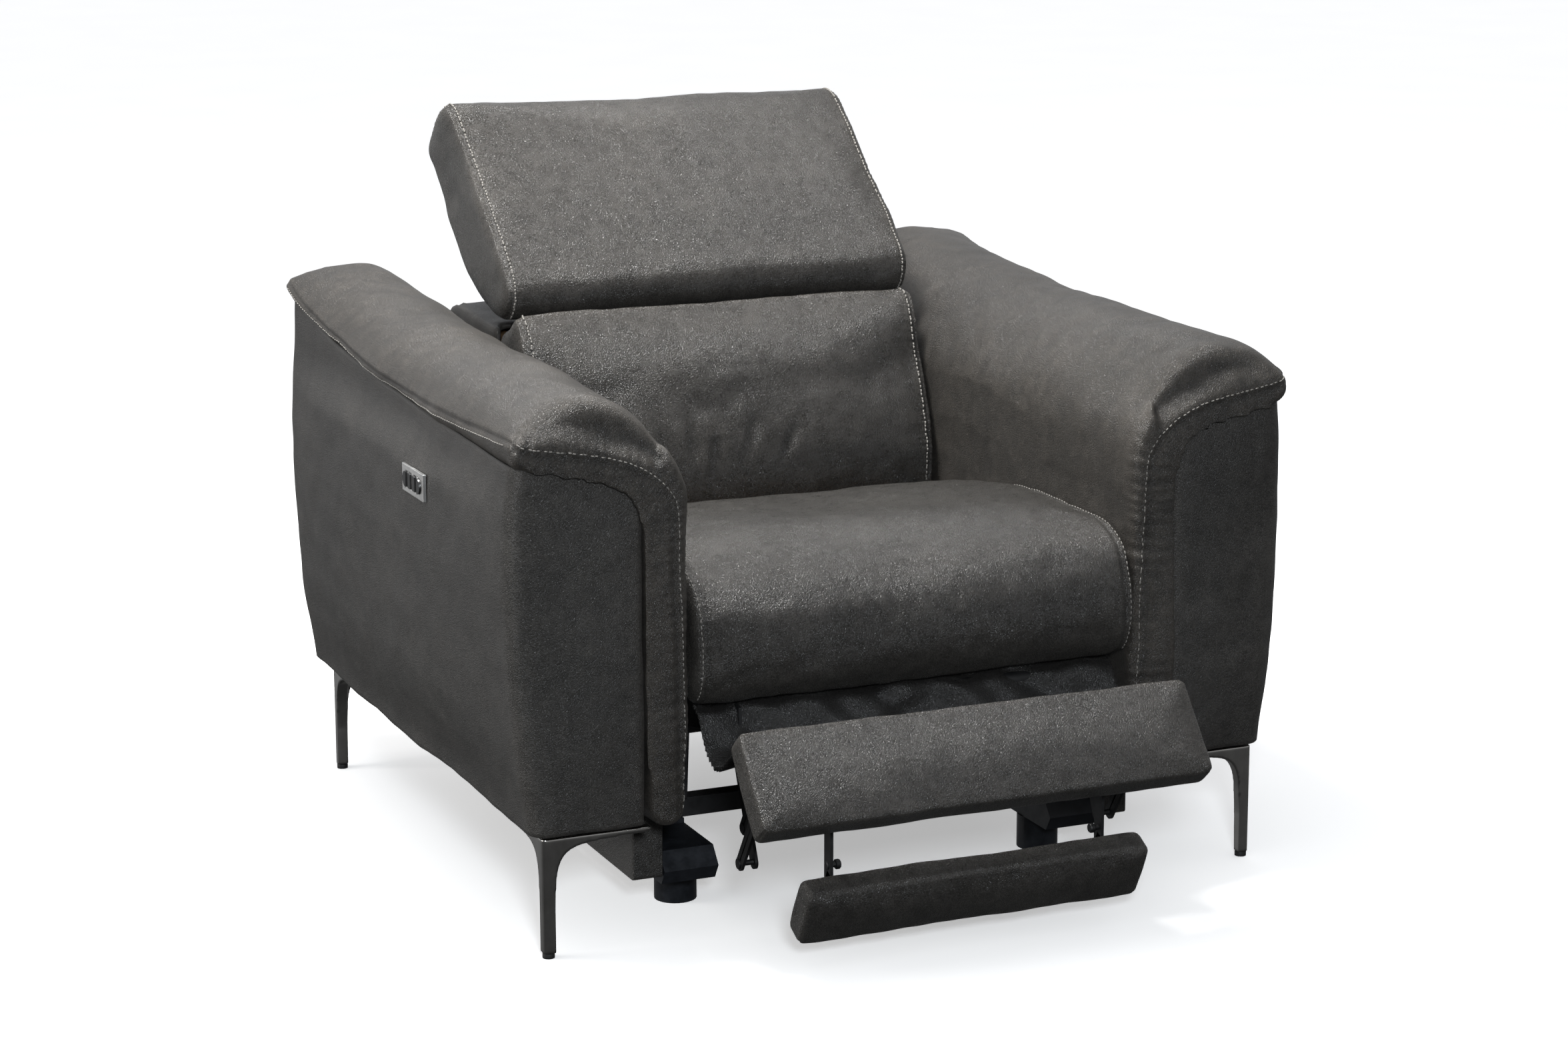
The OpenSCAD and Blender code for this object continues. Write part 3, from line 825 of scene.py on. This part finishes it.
# ---------------------------------------------------------------- arms
CREST = mm([(-392, 680), (-374, 684), (-300, 688), (-120, 690), (57, 691), (221, 695), (380, 704), (480, 711),
            (545, 712), (560, 706)])
SEAM = mm([(-392, 638), (-374, 640), (-200, 632), (-40, 629), (90, 630), (232, 639), (372, 654), (464, 670),
           (545, 692), (560, 694)])
UNDER = mm([(-392, 603), (-374, 602), (-190, 608), (-40, 612), (148, 621), (335, 634), (486, 658), (548, 670),
            (560, 672)])
CAP_FRONT, CAP_REAR = -0.391, 0.557
DROP_BOTTOM = 0.148
BODY_TOP_TUCK = 0.005  # how far the side panels reach up inside the caps


def at(table, y):
    return float(np.interp(y, table[:, 0], table[:, 1]))


def cap_section(y):
    """The arm cap's section at y, from the inner drop's outer foot round over the crest to the underside."""
    top, seam, under = at(CREST, y), at(SEAM, y), at(UNDER, y)
    inner, deep = BAY, top - seam
    over = [(inner + 0.0005, 0.50), (inner + 0.001, 0.548), (inner + 0.006, 0.577), (inner + 0.016, 0.600),
            (inner + 0.034, 0.627), (inner + 0.056, top - 0.032), (0.378, top - 0.014), (0.402, top - 0.003),
            (0.425, top), (0.452, top - 0.07 * deep), (0.480, top - 0.25 * deep), (0.503, top - 0.53 * deep),
            (0.518, seam + 0.15 * deep), (0.5240, seam + 0.003)]
    over = curve_through(np.array(over), 0.006)
    over = resampled(over, lengths_along(over)[-1] / 90)
    band = np.array([(0.5250, seam - 0.010), (0.5215, under + 0.010), (0.514, under + 0.001),
                     (0.500, under)])
    below = np.array([(0.470, under - 0.005), (0.430, under - 0.013), (0.394, under - 0.022),
                      (0.372, under - 0.038), (0.360, under - 0.062), (0.3565, 0.50)])
    return over, band, below


def cap_ring(y, inward):
    over, band, below = cap_section(y)
    foot_outer = np.array([(0.3555, 0.30), (0.355, DROP_BOTTOM + 0.022), (0.348, DROP_BOTTOM + 0.006),
                           (0.336, DROP_BOTTOM)])
    foot_inner = np.array([(0.320, DROP_BOTTOM), (0.308, DROP_BOTTOM + 0.006),
                           (BAY + 0.0005, DROP_BOTTOM + 0.022), (BAY + 0.0005, 0.30)])
    corners = [foot_inner, over, band, below, foot_outer]
    counts = [30, 91, 14, 30, 40]
    parts = []
    for part, following, count in zip(corners, corners[1:] + corners[:1], counts):
        line = np.vstack([part, following[:1]])
        parts.append(resampled(line, lengths_along(line)[-1] / count)[:count])
    ring = inset(np.vstack(parts), inward)
    return np.column_stack([ring[:, 0], np.full(len(ring), y), ring[:, 1]])


def end_stations(front, rear, round_front, round_rear, between):
    """(y, inset) pairs: rounded at both ends, even between."""
    first = [(front + round_front * (1 - math.cos(a)), round_front * (1 - math.sin(a)))
             for a in np.linspace(0, math.pi / 2, ROUNDING_STEPS)]
    last = [(rear - round_rear * (1 - math.cos(a)), round_rear * (1 - math.sin(a)))
            for a in np.linspace(math.pi / 2, 0, ROUNDING_STEPS)]
    middle = [(y, 0.0) for y in np.linspace(first[-1][0], last[0][0], between + 2)[1:-1]]
    return first + middle + last


def front_seam():
    """The seam of an arm's front band, in front view (x, z), from the outer tip to the foot."""
    return curve_through(mm([(524, 636), (510, 626), (476, 619), (424, 610), (384, 599), (352, 582),
                             (331, 560),
                             (323, 538), (321, 464), (317, 380), (315, 300), (312, 200), (311, 172)]), 0.004)


def cap_shape(side):
    rings = [cap_ring(y, depth) for y, depth in end_stations(CAP_FRONT, CAP_REAR, 0.013, 0.012, 60)]
    rings = [mirrored_points(ring, side) for ring in rings]
    name = "arm_cap_soft_" + ("left" if side == LEFT else "right")
    pad = remeshed(ring_solid(name, rings), 0.0065)
    # the top rolls over to the front seam
    points = coords(pad)
    across, y, z = np.abs(points[:, 0]), points[:, 1], points[:, 2]
    seam = front_seam()
    seam_z = np.interp(across, seam[::-1, 0], seam[::-1, 1])
    rise = np.clip((z - seam_z - 0.006) / 0.05, 0, 1) * (across > 0.33)
    near = np.clip((-0.340 - y) / 0.052, 0, 1)
    points[:, 2] -= 0.011 * rise * near**2
    points[:, 1] += 0.018 * smooth(rise) * near**2
    set_coords(pad, points)
    return pad


def arm_cap(word, side):
    pad = cap_shape(side)

    def held(points):
        across, y, z = np.abs(points[:, 0]), points[:, 1], points[:, 2]
        under = np.array([at(UNDER, v) for v in y])
        below = (z < under + 0.004) & (across > 0.36)
        outside = (across > 0.352) & (z < 0.55)
        foot = z < DROP_BOTTOM + 0.01
        seam = np.abs(z - np.array([at(SEAM, v) for v in y])) < 0.006
        seam &= across > 0.51
        inner = (across < BAY + 0.004) & (z < 0.50)
        return np.where(below | outside | foot | seam | inner | (y > 0.545), 1.0, 0.0)

    inflated(pad, held, 0.007)
    subdivided(relaxed(pad, 2))
    rumpled(pad, 0.0045, 7, 7 + side)
    rumpled(pad, 0.0016, 26, 10 + side)
    flat = front_seam()
    line = np.column_stack([side * flat[:, 0], np.full(len(flat), CAP_FRONT - 0.002), flat[:, 1]])
    sewn(pad, line, 0.0038, 0.0034, 0.0040, 0.026, 0.015, 41 + side)
    mitre = mirrored_points(mm([(523, -390, 632), (519, -383, 646), (511, -372, 658)]), side)
    sewn(pad, curve_through(mitre), 0.0028, 0.0030, 0.0012, 0.012, 0.009, 45 + side)
    ys = np.linspace(-0.386, 0.552, 60)
    rail = np.column_stack([np.full(60, side * 0.5245), ys, [at(SEAM, v) + 0.001 for v in ys]])
    sewn(pad, rail, 0.0026, 0.0030, 0.0008, 0.014, 0.013, 51 + side)
    points = coords(pad)
    points[:, 0] = side * np.maximum(side * points[:, 0], BAY - 0.0005)
    set_coords(pad, points)
    worn_and_crease_shaded(pad)
    dress(pad, CAP)
    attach(pad, "chair")
    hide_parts("arm_cap_" + word)
    inward = inset_open(flat, -0.0075)
    front_rows = [np.column_stack([side * inward[:, 0], np.full(len(inward), CAP_FRONT - 0.002),
                                   inward[:, 1]])]
    side_row = rail[2:-1] + np.array([0, 0, -0.0075])
    thread = stitched("arm_cap_stitches_" + word, pad, [*front_rows, side_row], radius=0.0008)
    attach(thread, "chair")


BODY_WIDTHS = mm([(147, 501), (151, 502), (180, 505), (230, 511), (300, 516), (360, 519.5), (450, 521.5),
                  (540, 520), (600, 518), (680, 515)])
SIDE_FULLNESS = 0.0165


def arm_body(word, side):
    """The arm's upholstered panels: rounded corners, a full outer side that narrows to the foot."""
    inner, front, rear, foot = 0.3575, -0.381, 0.549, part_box("arm_body_" + word)[0].z
    around = 420
    rings = []
    for height in np.concatenate([[0, 0.002, 0.006], np.linspace(0.012, 1, 90)]):
        ring = []
        level = foot + height * (0.560 - foot)
        outer = at(BODY_WIDTHS, level)
        tuck = 0.008 * (1 - min(height / 0.012, 1)) ** 2
        corners = [(inner, front, 0.006, 180), (outer, front, 0.024, 270), (outer, rear, 0.020, 0),
                   (inner, rear, 0.006, 90)]
        for x, y, radius, start in corners:
            centre = (x - math.copysign(radius, x - 0.43), y - math.copysign(radius, y))
            ring.append(arc(centre, radius, start, start + 90, 12))
        ring = np.vstack(ring)
        ring = resampled(np.vstack([ring, ring[:1]]), 1e-3)[:-1]
        ring = resampled(np.vstack([ring, ring[:1]]), lengths_along(np.vstack([ring, ring[:1]]))[-1] / around)
        ring = inset(ring[:around], tuck)
        top = np.full(around, level)
        if height > 0.012:
            # the top edge follows the underside of the cap
            rise = np.array([body_top(x, y) for x, y in ring]) - 0.560
            top = level + rise * ((level - foot) / (0.560 - foot)) ** 3
            ring[:, 0] = np.where(ring[:, 0] > 0.48,
                                  ring[:, 0] + np.array([at(BODY_WIDTHS, v) for v in top]) - outer,
                                  ring[:, 0])
        rings.append(np.column_stack([side * ring[:, 0], ring[:, 1], top]))
    body = ring_solid("arm_body_soft_" + word, rings)
    fullness(body, side)
    rumpled(body, 0.0045, 5, 13 + side, lambda p: np.clip((0.60 - p[:, 2]) / 0.1, 0, 1))
    rumpled(body, 0.0012, 24, 16 + side)
    pull = mm([(508, -384, 588), (506, -388, 560), (500, -389, 520), (494, -388, 470)])
    pull = curve_through(mirrored_points(pull, side), 0.004)
    creased(body, pull, 0.0022, 0.010)
    worn_and_crease_shaded(body)
    dress(body, OUTER)
    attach(body, "chair")
    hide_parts("arm_body_" + word)


def body_top(x, y):
    """How high the arm body reaches under the cap at a place."""
    under = at(UNDER, y)
    drop = np.interp(x, [0.3565, 0.360, 0.372, 0.394, 0.430, 0.470, 0.500, 0.540],
                     [0.072, 0.062, 0.038, 0.022, 0.013, 0.005, 0.0, 0.0])
    return under - drop + BODY_TOP_TUCK


def fullness(body, side):
    """The front and the outer side swell in their middle."""
    points = coords(body)
    across, z = np.abs(points[:, 0]), points[:, 2]
    along = np.clip((points[:, 1] + 0.381) / 0.930, 0, 1)
    up = smooth((z - 0.150) / 0.14) * smooth((0.612 - z) / 0.07)
    outer = smooth((across - 0.49) / 0.02)
    points[:, 0] += side * SIDE_FULLNESS * np.sin(np.pi * along) ** 0.6 * up * outer
    u = np.clip((across - 0.357) / 0.146, 0, 1)
    v = np.clip((z - 0.151) / 0.44, 0, 1)
    swell = np.sin(np.pi * u) ** 0.7 * np.sin(np.pi * v) ** 0.5
    front = points[:, 1] < -0.37
    points[front, 1] -= 0.0065 * swell[front]
    set_coords(body, points)


# ---------------------------------------------------------------- outer back
def back_shell():
    """The outer back: side panels, rear panel and a soft top edge, open below and to the cushion."""
    half, wall = BACK_HALF, 0.011
    profile = mm([(258, 373), (268, 352), (300, 328), (400, 260), (497, 194), (512, 189), (527, 191),
                  (536, 203),
                  (543, 330), (546, 420), (545, 560), (543, 618), (536, 637), (522, 647), (500, 650),
                  (430, 649),
                  (353, 646), (330, 645), (325, 618)])
    plate = np.vstack([profile[:5], curve_through(profile[4:], 0.006)])
    sides = []
    for side in (LEFT, RIGHT):
        outer_x, inner_x = side * half, side * (half - wall)
        rings = [np.column_stack([np.full(len(plate), x), inset(plate, depth)])
                 for x, depth in ((outer_x, 0.005), (outer_x - side * 0.0015, 0.002),
                                  (outer_x - side * 0.005, 0),
                                  (inner_x, 0))]
        sides.append(ring_solid("side", rings))
    outside = curve_through(profile[5:17], 0.006)
    strip = np.vstack([outside, inset_open(outside, wall)[::-1]])
    rings = [np.column_stack([np.full(len(strip), x), strip]) for x in np.linspace(-half + 0.003,
                                                                                   half - 0.003, 40)]
    sides.append(ring_solid("rear", rings))
    shell = remeshed(joined("outer_back_soft", sides), 0.0055)
    points = coords(shell)
    # clear of the headrest's ears and rod, and of the cushion
    gap = (np.abs(points[:, 0]) < 0.162) & (points[:, 1] < 0.359) & (points[:, 2] > 0.62)
    points[gap, 1] = 0.359
    set_coords(shell, points)
    relaxed(shell, 3)
    subdivided(shell)

    def rear_face(p):
        return np.clip((p[:, 1] - 0.50) / 0.03, 0, 1)

    rumpled(shell, 0.005, 6, 19, rear_face)
    rumpled(shell, 0.0012, 26, 20)
    lines = []
    for side in (LEFT, RIGHT):
        edge = side_line(curve_through(profile[7:15], 0.006), side * (half - 0.010))
        sewn(shell, edge + np.array([0, 0.001, 0]), 0.0024, 0.0030, 0.0008, 0.012, 0.012, 61 + side)
        lines.append(side_line(curve_through(profile[7:15], 0.006), side * (half - 0.0175)))
    keep_between(shell, half + 0.002)
    worn_and_crease_shaded(shell)
    dress(shell, OUTER)
    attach(shell, "backrest")
    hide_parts("back_cover")
    thread = stitched("outer_back_stitches", shell, lines)
    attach(thread, "backrest")


# ---------------------------------------------------------------- footrest
FOOT_EDGE, FOOT_LEAN = np.array([-0.527, 0.304]), math.radians(38.7)
FLAP_EDGE, FLAP_LEAN = np.array([-0.575, 0.106]), math.radians(-25.9)


def panel_place(points, edge, lean):
    """Panel points (x, behind the face, along the face) in the row frame."""
    points = np.asarray(points, float)
    c, s = math.cos(lean), math.sin(lean)
    y = edge[0] + points[:, 1] * c + points[:, 2] * s
    z = edge[1] - points[:, 1] * s + points[:, 2] * c
    return np.column_stack([points[:, 0], y, z])


def boxed_panel(name, half, length, thick, edge, lean, rise, seed):
    """A thin boxed pad with crisp edges, mitred corners and a slightly full face."""
    radius = 0.0055
    corners = [(thick - radius, -radius, 0), (radius, -radius, 90), (radius, -length + radius, 180),
               (thick - radius, -length + radius, 270)]
    ring = np.vstack([arc((y, z), radius, start, start + 90, 6) for y, z, start in corners])
    rings = []
    for x, depth in [(-half, 0.004), (-half + 0.001, 0.0016), (-half + 0.0035, 0),
                     *[(v, 0) for v in np.linspace(-half + 0.010, half - 0.010, 90)],
                     (half - 0.0035, 0), (half - 0.001, 0.0016), (half, 0.004)]:
        dense = resampled(np.vstack([ring, ring[:1]]), 0.003)[:-1]
        flat = inset(dense, depth)
        rings.append(np.column_stack([np.full(len(flat), x), flat]))
    pad = remeshed(ring_solid(name, rings), 0.004)

    def held(points):
        back = points[:, 1] > thick - 0.010
        rim = (points[:, 2] > -0.004) | (points[:,
                                                2] < -length + 0.004) | (np.abs(points[:, 0]) > half - 0.004)
        return np.where(back, 1.0, np.where(rim, 0.8, 0.0))

    inflated(pad, held, rise)
    subdivided(relaxed(pad, 1))
    rumpled(pad, 0.0022, 10, seed)
    rumpled(pad, 0.0008, 36, seed + 1)
    for side in (LEFT, RIGHT):
        for z0, z1 in ((-0.003, 0.006), (-length + 0.003, -length - 0.006)):
            line = np.array([(side * (half - 0.003), 0.004, z0),
                             (side * (half - 0.001), thick * 0.5, z0 * 0.4),
                             (side * (half - 0.001), thick - 0.003, z0 * 0.4)])
            if z0 < -0.01:
                line[:, 2] = (z0, -length + 0.001, -length + 0.001)
            sewn(pad, curve_through(line, 0.003), 0.0018, 0.0022, 0.0006, 0.006, 0.006, seed + 2)
    worn_and_crease_shaded(pad)
    set_coords(pad, panel_place(coords(pad), edge, lean))
    return dress(pad, CUSHION)


def footrest_pads():
    main = boxed_panel("footrest_panel", BAY - 0.0015, 0.127, 0.042, FOOT_EDGE, FOOT_LEAN, 0.006, 71)
    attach(main, "footrest")
    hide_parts("footrest_pad")
    lower = boxed_panel("footrest_flap", 0.228, 0.081, 0.036, FLAP_EDGE, FLAP_LEAN, 0.005, 75)
    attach(lower, "flap_panel")
    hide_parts("flap")


def plate_solid(name, outline, x0, x1):
    """A flat plate: a side view outline with thickness from x0 to x1."""
    rings = [np.column_stack([np.full(len(outline), x), outline]) for x in (x0, x1)]
    made = mesh_object(name, np.concatenate(rings),
                       [tuple(range(len(outline)))[::-1],
                        tuple(range(len(outline), 2 * len(outline)))]
                       + [(i, (i + 1) % len(outline), (i + 1) % len(outline) + len(outline), i + len(outline))
                          for i in range(len(outline))])
    for face in made.data.polygons:
        face.use_smooth = False
    return made


def disc_solid(name, centre, radii, xs, sides=40):
    """A turned piece on an axis along X: radii at stations xs."""
    rings = []
    for radius, x in zip(radii, xs):
        flat = arc(centre, radius, 0, 360, sides + 1)[:-1]
        rings.append(np.column_stack([np.full(sides, x), flat]))
    return ring_solid(name, rings)


def strip_outline(a, b, width):
    """A flat strip with round ends between two side view points."""
    a, b = np.array(a), np.array(b)
    turn = math.degrees(math.atan2(b[1] - a[1], b[0] - a[0]))
    return np.vstack([arc(a, width / 2, turn + 90, turn + 270, 14),
                      arc(b, width / 2, turn - 90, turn + 90, 14)])


def flap_arms():
    """The two steel arms that carry the flap, each with a headed stud."""
    hinge, low, stud = (0.0769, 0.0468), (0.046, -0.018), (0.052, -0.004)
    for word, side in SIDES.items():
        pieces = [plate_solid("strip", strip_outline(hinge, low, 0.018), side * 0.180, side * 0.184),
                  plate_solid("foot", mm([(34, -50), (50, -50), (50, -10), (34, -10)]), side * 0.180,
                              side * 0.184),
                  disc_solid("stud", stud, (0.0035, 0.0035, 0.0055, 0.0062, 0.0062, 0.0052),
                             [side * v for v in (0.180, 0.1745, 0.174, 0.1732, 0.1695, 0.168)], 28),
                  disc_solid("rivet", stud, (0.0052, 0.0052, 0.004),
                             [side * v for v in (0.184, 0.1856, 0.1862)], 24),
                  disc_solid("hinge_rivet", hinge, (0.0062, 0.0062, 0.005),
                             [side * v for v in (0.1845, 0.1858, 0.1862)], 24)]
        arm = joined("flap_arm_" + word, pieces)
        for face in arm.data.polygons:
            face.use_smooth = False
        set_coords(arm, panel_place(coords(arm), FLAP_EDGE, FLAP_LEAN))
        dress(arm, BLACK_STEEL)
        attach(arm, "flap_panel")
        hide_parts("flap")


# ---------------------------------------------------------------- skirt
SKIRT_HALF = 0.283
LIFT_POINT = (-0.415, 0.226)  # lowest point of the skirt, carried by the lift arms
SKIRT_TOP = (-0.346, 0.300)
SKIRT_END = (-0.489, 0.276)


def hanging_sheet(name, line, seed, columns=150, thick=0.0011):
    """A sheet that follows a side view line across the chair, with edge gathers and slanting folds."""
    line = curve_through(np.array(line), 0.004)
    along = lengths_along(line)
    total = along[-1]
    xs = np.linspace(-SKIRT_HALF, SKIRT_HALF, columns)
    edges = np.gradient(line, axis=0)
    edges /= np.linalg.norm(edges, axis=1, keepdims=True)
    facing = np.stack([-edges[:, 1], edges[:, 0]], 1)
    draw = np.random.default_rng(seed)
    phases = draw.uniform(0, 6.28, 6)
    grid = np.empty((len(line), columns, 3))
    for i, (p, n, s) in enumerate(zip(line, facing, along)):
        v = s / total
        hold = math.sin(math.pi * np.clip(v, 0.02, 0.98)) ** 0.6
        edge = np.abs(xs) / SKIRT_HALF
        gathers = 0.0022 * np.sin(s * 760 + 2 * np.sin(xs * 40)) * np.clip((edge - 0.86) / 0.14, 0, 1) ** 1.5
        folds = sum(a * np.sin(xs * f + s * g + ph) for a, f, g, ph in
                    zip((0.0036, 0.0034, 0.0026, 0.0014), (17, 31, 52, 96), (34, -58, 74, -90), phases))
        push = gathers + folds * hold * (1 - 0.4 * edge**4)
        grid[i, :, 0] = xs
        grid[i, :, 1] = p[0] + n[0] * push
        grid[i, :, 2] = p[1] + n[1] * push
    rows, count = grid.shape[:2]
    vertices = grid.reshape(-1, 3)
    faces = [(i * count + j, i * count + j + 1, (i + 1) * count + j + 1, (i + 1) * count + j)
             for i in range(rows - 1) for j in range(count - 1)]
    sheet = mesh_object(name, vertices, faces, outward=False)
    thickness = sheet.modifiers.new("thickness", "SOLIDIFY")
    thickness.thickness = thick
    thickness.offset = 0
    return settled(sheet), total


def skirt():
    """The sheet that closes the gap between the seat and the footrest, in two widths that meet at a seam."""
    upper, upper_len = hanging_sheet("skirt_upper",
                                     [SKIRT_TOP, (-0.350, 0.289), (-0.367, 0.279), (-0.381, 0.252),
                                                      (-0.394, 0.236), LIFT_POINT], 5)
    lower, lower_len = hanging_sheet("skirt_lower",
                                     [LIFT_POINT, (-0.440, 0.234), (-0.466, 0.257), SKIRT_END], 9)
    for piece, length in ((upper, upper_len), (lower, lower_len)):
        worn_and_crease_shaded(piece)
        dress(piece, SKIRT)
        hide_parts("skirt")
    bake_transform(upper)
    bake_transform(lower)


# ---------------------------------------------------------------- legs
def leg_outline():
    """One web of a leg: distance from the corner against height, with a fillet under the bracket."""
    sweep = curve_through(mm([(15.5, 60), (17.5, 96), (20, 112), (25, 124), (33, 132.5), (46, 138), (66, 141),
                              (96, 142.8), (132, 144)]), 0.004)
    return np.vstack([mm([(0, 6), (13, 6), (14, 30)]), sweep,
                      mm([(139, 145), (140, 148), (139, 151), (0, 151)])])


def leg(word_y, word_x, side, corner_y, inward):
    """A slim polished leg: two webs that meet at a rounded outer corner and reach along both bottom edges."""
    corner_x, web = 0.488, 0.0155
    outline = leg_outline()
    pieces = []
    for axis in (0, 1):
        rings = []
        for depth in (0, web):
            ring = np.empty((len(outline), 3))
            ring[:, axis] = outline[:, 0]
            ring[:, 1 - axis] = depth
            ring[:, 2] = outline[:, 1]
            rings.append(ring)
        vertices = np.concatenate(rings)
        count = len(outline)
        faces = [tuple(range(count))[::-1], tuple(range(count, 2 * count))]
        faces += [(i, (i + 1) % count, (i + 1) % count + count, i + count) for i in range(count)]
        pieces.append(mesh_object("web", vertices, faces))
    whole = joined("leg_%s_%s_metal" % (word_y, word_x), pieces)
    remeshed(whole, 0.0014)
    points = coords(whole)
    # round the outer corner: pull in what stands outside a quarter circle there
    radius = 0.0065
    near = (points[:, 0] < radius) & (points[:, 1] < radius)
    off = points[:, :2] - radius
    far = np.linalg.norm(off, axis=1)
    move = near & (far > radius)
    points[move, :2] = radius + off[move] / far[move, None] * radius
    set_coords(whole, points)
    relaxed(whole, 4)
    points = coords(whole)
    points[:, 0] = side * (corner_x - points[:, 0])
    points[:, 1] = corner_y + inward * points[:, 1]
    set_coords(whole, points)
    face_outward(whole.data)
    shaded_smooth(whole.data)
    dress(whole, LEG)
    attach(whole, "chair")
    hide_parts("leg_%s_%s" % (word_y, word_x))


def legs():
    for word_x, side in SIDES.items():
        leg("front", word_x, side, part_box("leg_front_" + word_x)[0].y, 1)
        leg("rear", word_x, side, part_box("leg_rear_" + word_x)[1].y, -1)


# ---------------------------------------------------------------- room
CAMERA_TURN = (23.4696, 13.0648, -0.1819)  # yaw, pitch and roll in degrees
CAMERA_PLACE = (-1.8553, -4.2495, 1.4909)
CAMERA_LENS, CAMERA_SENSOR = 82.71, 36  # millimetres


def camera():
    """The photograph's viewing angle, from the front left and a little above."""
    yaw, pitch, roll = (math.radians(v) for v in CAMERA_TURN)
    forward = Vector((math.sin(yaw) * math.cos(pitch), math.cos(yaw) * math.cos(pitch), -math.sin(pitch)))
    level = Vector((math.cos(yaw), -math.sin(yaw), 0))
    above = level.cross(forward)
    right = math.cos(roll) * level + math.sin(roll) * above
    up = -math.sin(roll) * level + math.cos(roll) * above
    data = bpy.data.cameras.new("camera")
    data.lens, data.sensor_width = CAMERA_LENS, CAMERA_SENSOR
    obj = bpy.data.objects.new("camera", data)
    turn = Matrix((right, up, -forward)).transposed().to_4x4()
    obj.matrix_world = Matrix.Translation(CAMERA_PLACE) @ turn
    bpy.context.scene.collection.objects.link(obj)
    bpy.context.scene.camera = obj


def area_light(name, place, target, size, power, colour):
    data = bpy.data.lights.new(name, "AREA")
    data.shape, data.size, data.energy, data.color = "SQUARE", size, power, colour
    obj = bpy.data.objects.new(name, data)
    obj.location = place
    obj.rotation_euler = (Vector(target) - Vector(place)).to_track_quat("-Z", "Y").to_euler()
    bpy.context.scene.collection.objects.link(obj)


# the sky's strength at the horizon and overhead, what it gains towards the rear, and the share left below
SKY_LOW, SKY_HIGH, SKY_BEHIND, SKY_UNDER = 0.20, 0.60, 0.36, 0.15
FLOOR_HALF = 40
FLOOR_GLOW = 0.42
# name, place, point it faces, size, watts, colour
AREA_LIGHTS = [
    ("above", (-0.42, 0.12, 2.35), (-0.1, 0.25, 0.6), 0.5, 84, (1.0, 0.99, 0.97)),
    ("front", (-1.4, -3.9, 1.8), (0, 0.1, 0.5), 0.5, 95, (0.90, 0.95, 1.0)),
    ("left", (-4.2, 1.2, 1.1), (-0.5, 0, 0.4), 2.0, 95, (1.0, 0.98, 0.95)),
]


def studio():
    floor = mesh_object("floor", [(x * FLOOR_HALF, y * FLOOR_HALF, 0) for x,
                                  y in ((-1, -1), (1, -1), (1, 1), (-1, 1))],
                        [(0, 1, 2, 3)], outward=False)
    material, tree, body = shader("floor", Roughness=0.9, Emission_Color=(1, 1, 1, 1),
                                  Emission_Strength=FLOOR_GLOW)
    dust = noise_of(tree, object_place(tree), 3, 3, 0.5)
    tree.links.new(ramp(tree, dust, [(0.3, (0.90, 0.90, 0.90)), (0.7, (0.93, 0.93, 0.93))]),
                   body.inputs["Base Color"])
    floor.data.materials.append(material)
    # the floor shows, but throws no light on the object and isn't mirrored in it
    floor.visible_diffuse = False
    floor.visible_glossy = False
    world = bpy.data.worlds.new("studio")
    world.use_nodes = True
    tree = world.node_tree
    place = node(tree, "SeparateXYZ", {0: node(tree, "TexCoord").outputs["Generated"]}).outputs
    above = span(tree, place["Z"], SKY_LOW, SKY_HIGH)
    behind = span(tree, place["Y"], 0.0, SKY_BEHIND)
    sky = node(tree, "Math", {0: above, 1: behind}, operation="ADD").outputs[0]
    under = span(tree, place["Z"], SKY_UNDER, 1.0, -0.38, 0.04)
    strength = node(tree, "Math", {0: sky, 1: under}, operation="MULTIPLY").outputs[0]
    tree.links.new(strength, tree.nodes["Background"].inputs["Strength"])
    tree.nodes["Background"].inputs["Color"].default_value = (0.95, 0.97, 1.0, 1)
    bpy.context.scene.world = world
    sun = bpy.data.lights.new("sky", "SUN")
    sun.energy, sun.angle, sun.color = 0.3, math.radians(30), (1.0, 0.98, 0.95)
    high = bpy.data.objects.new("sky", sun)
    high.rotation_euler = Vector((0.25, -0.10, -1.0)).to_track_quat("-Z", "Y").to_euler()
    bpy.context.scene.collection.objects.link(high)
    for light in AREA_LIGHTS:
        area_light(*light)
    bpy.context.scene.view_settings.view_transform = "Standard"
    bpy.context.scene.view_settings.look = "None"


camera()
seat_pad()
back_pad()
head_pad()
for arm_word, arm_side in SIDES.items():
    arm_cap(arm_word, arm_side)
    arm_body(arm_word, arm_side)
back_shell()
footrest_pads()
flap_arms()
skirt()
legs()
finish_cad_nodes()
studio()
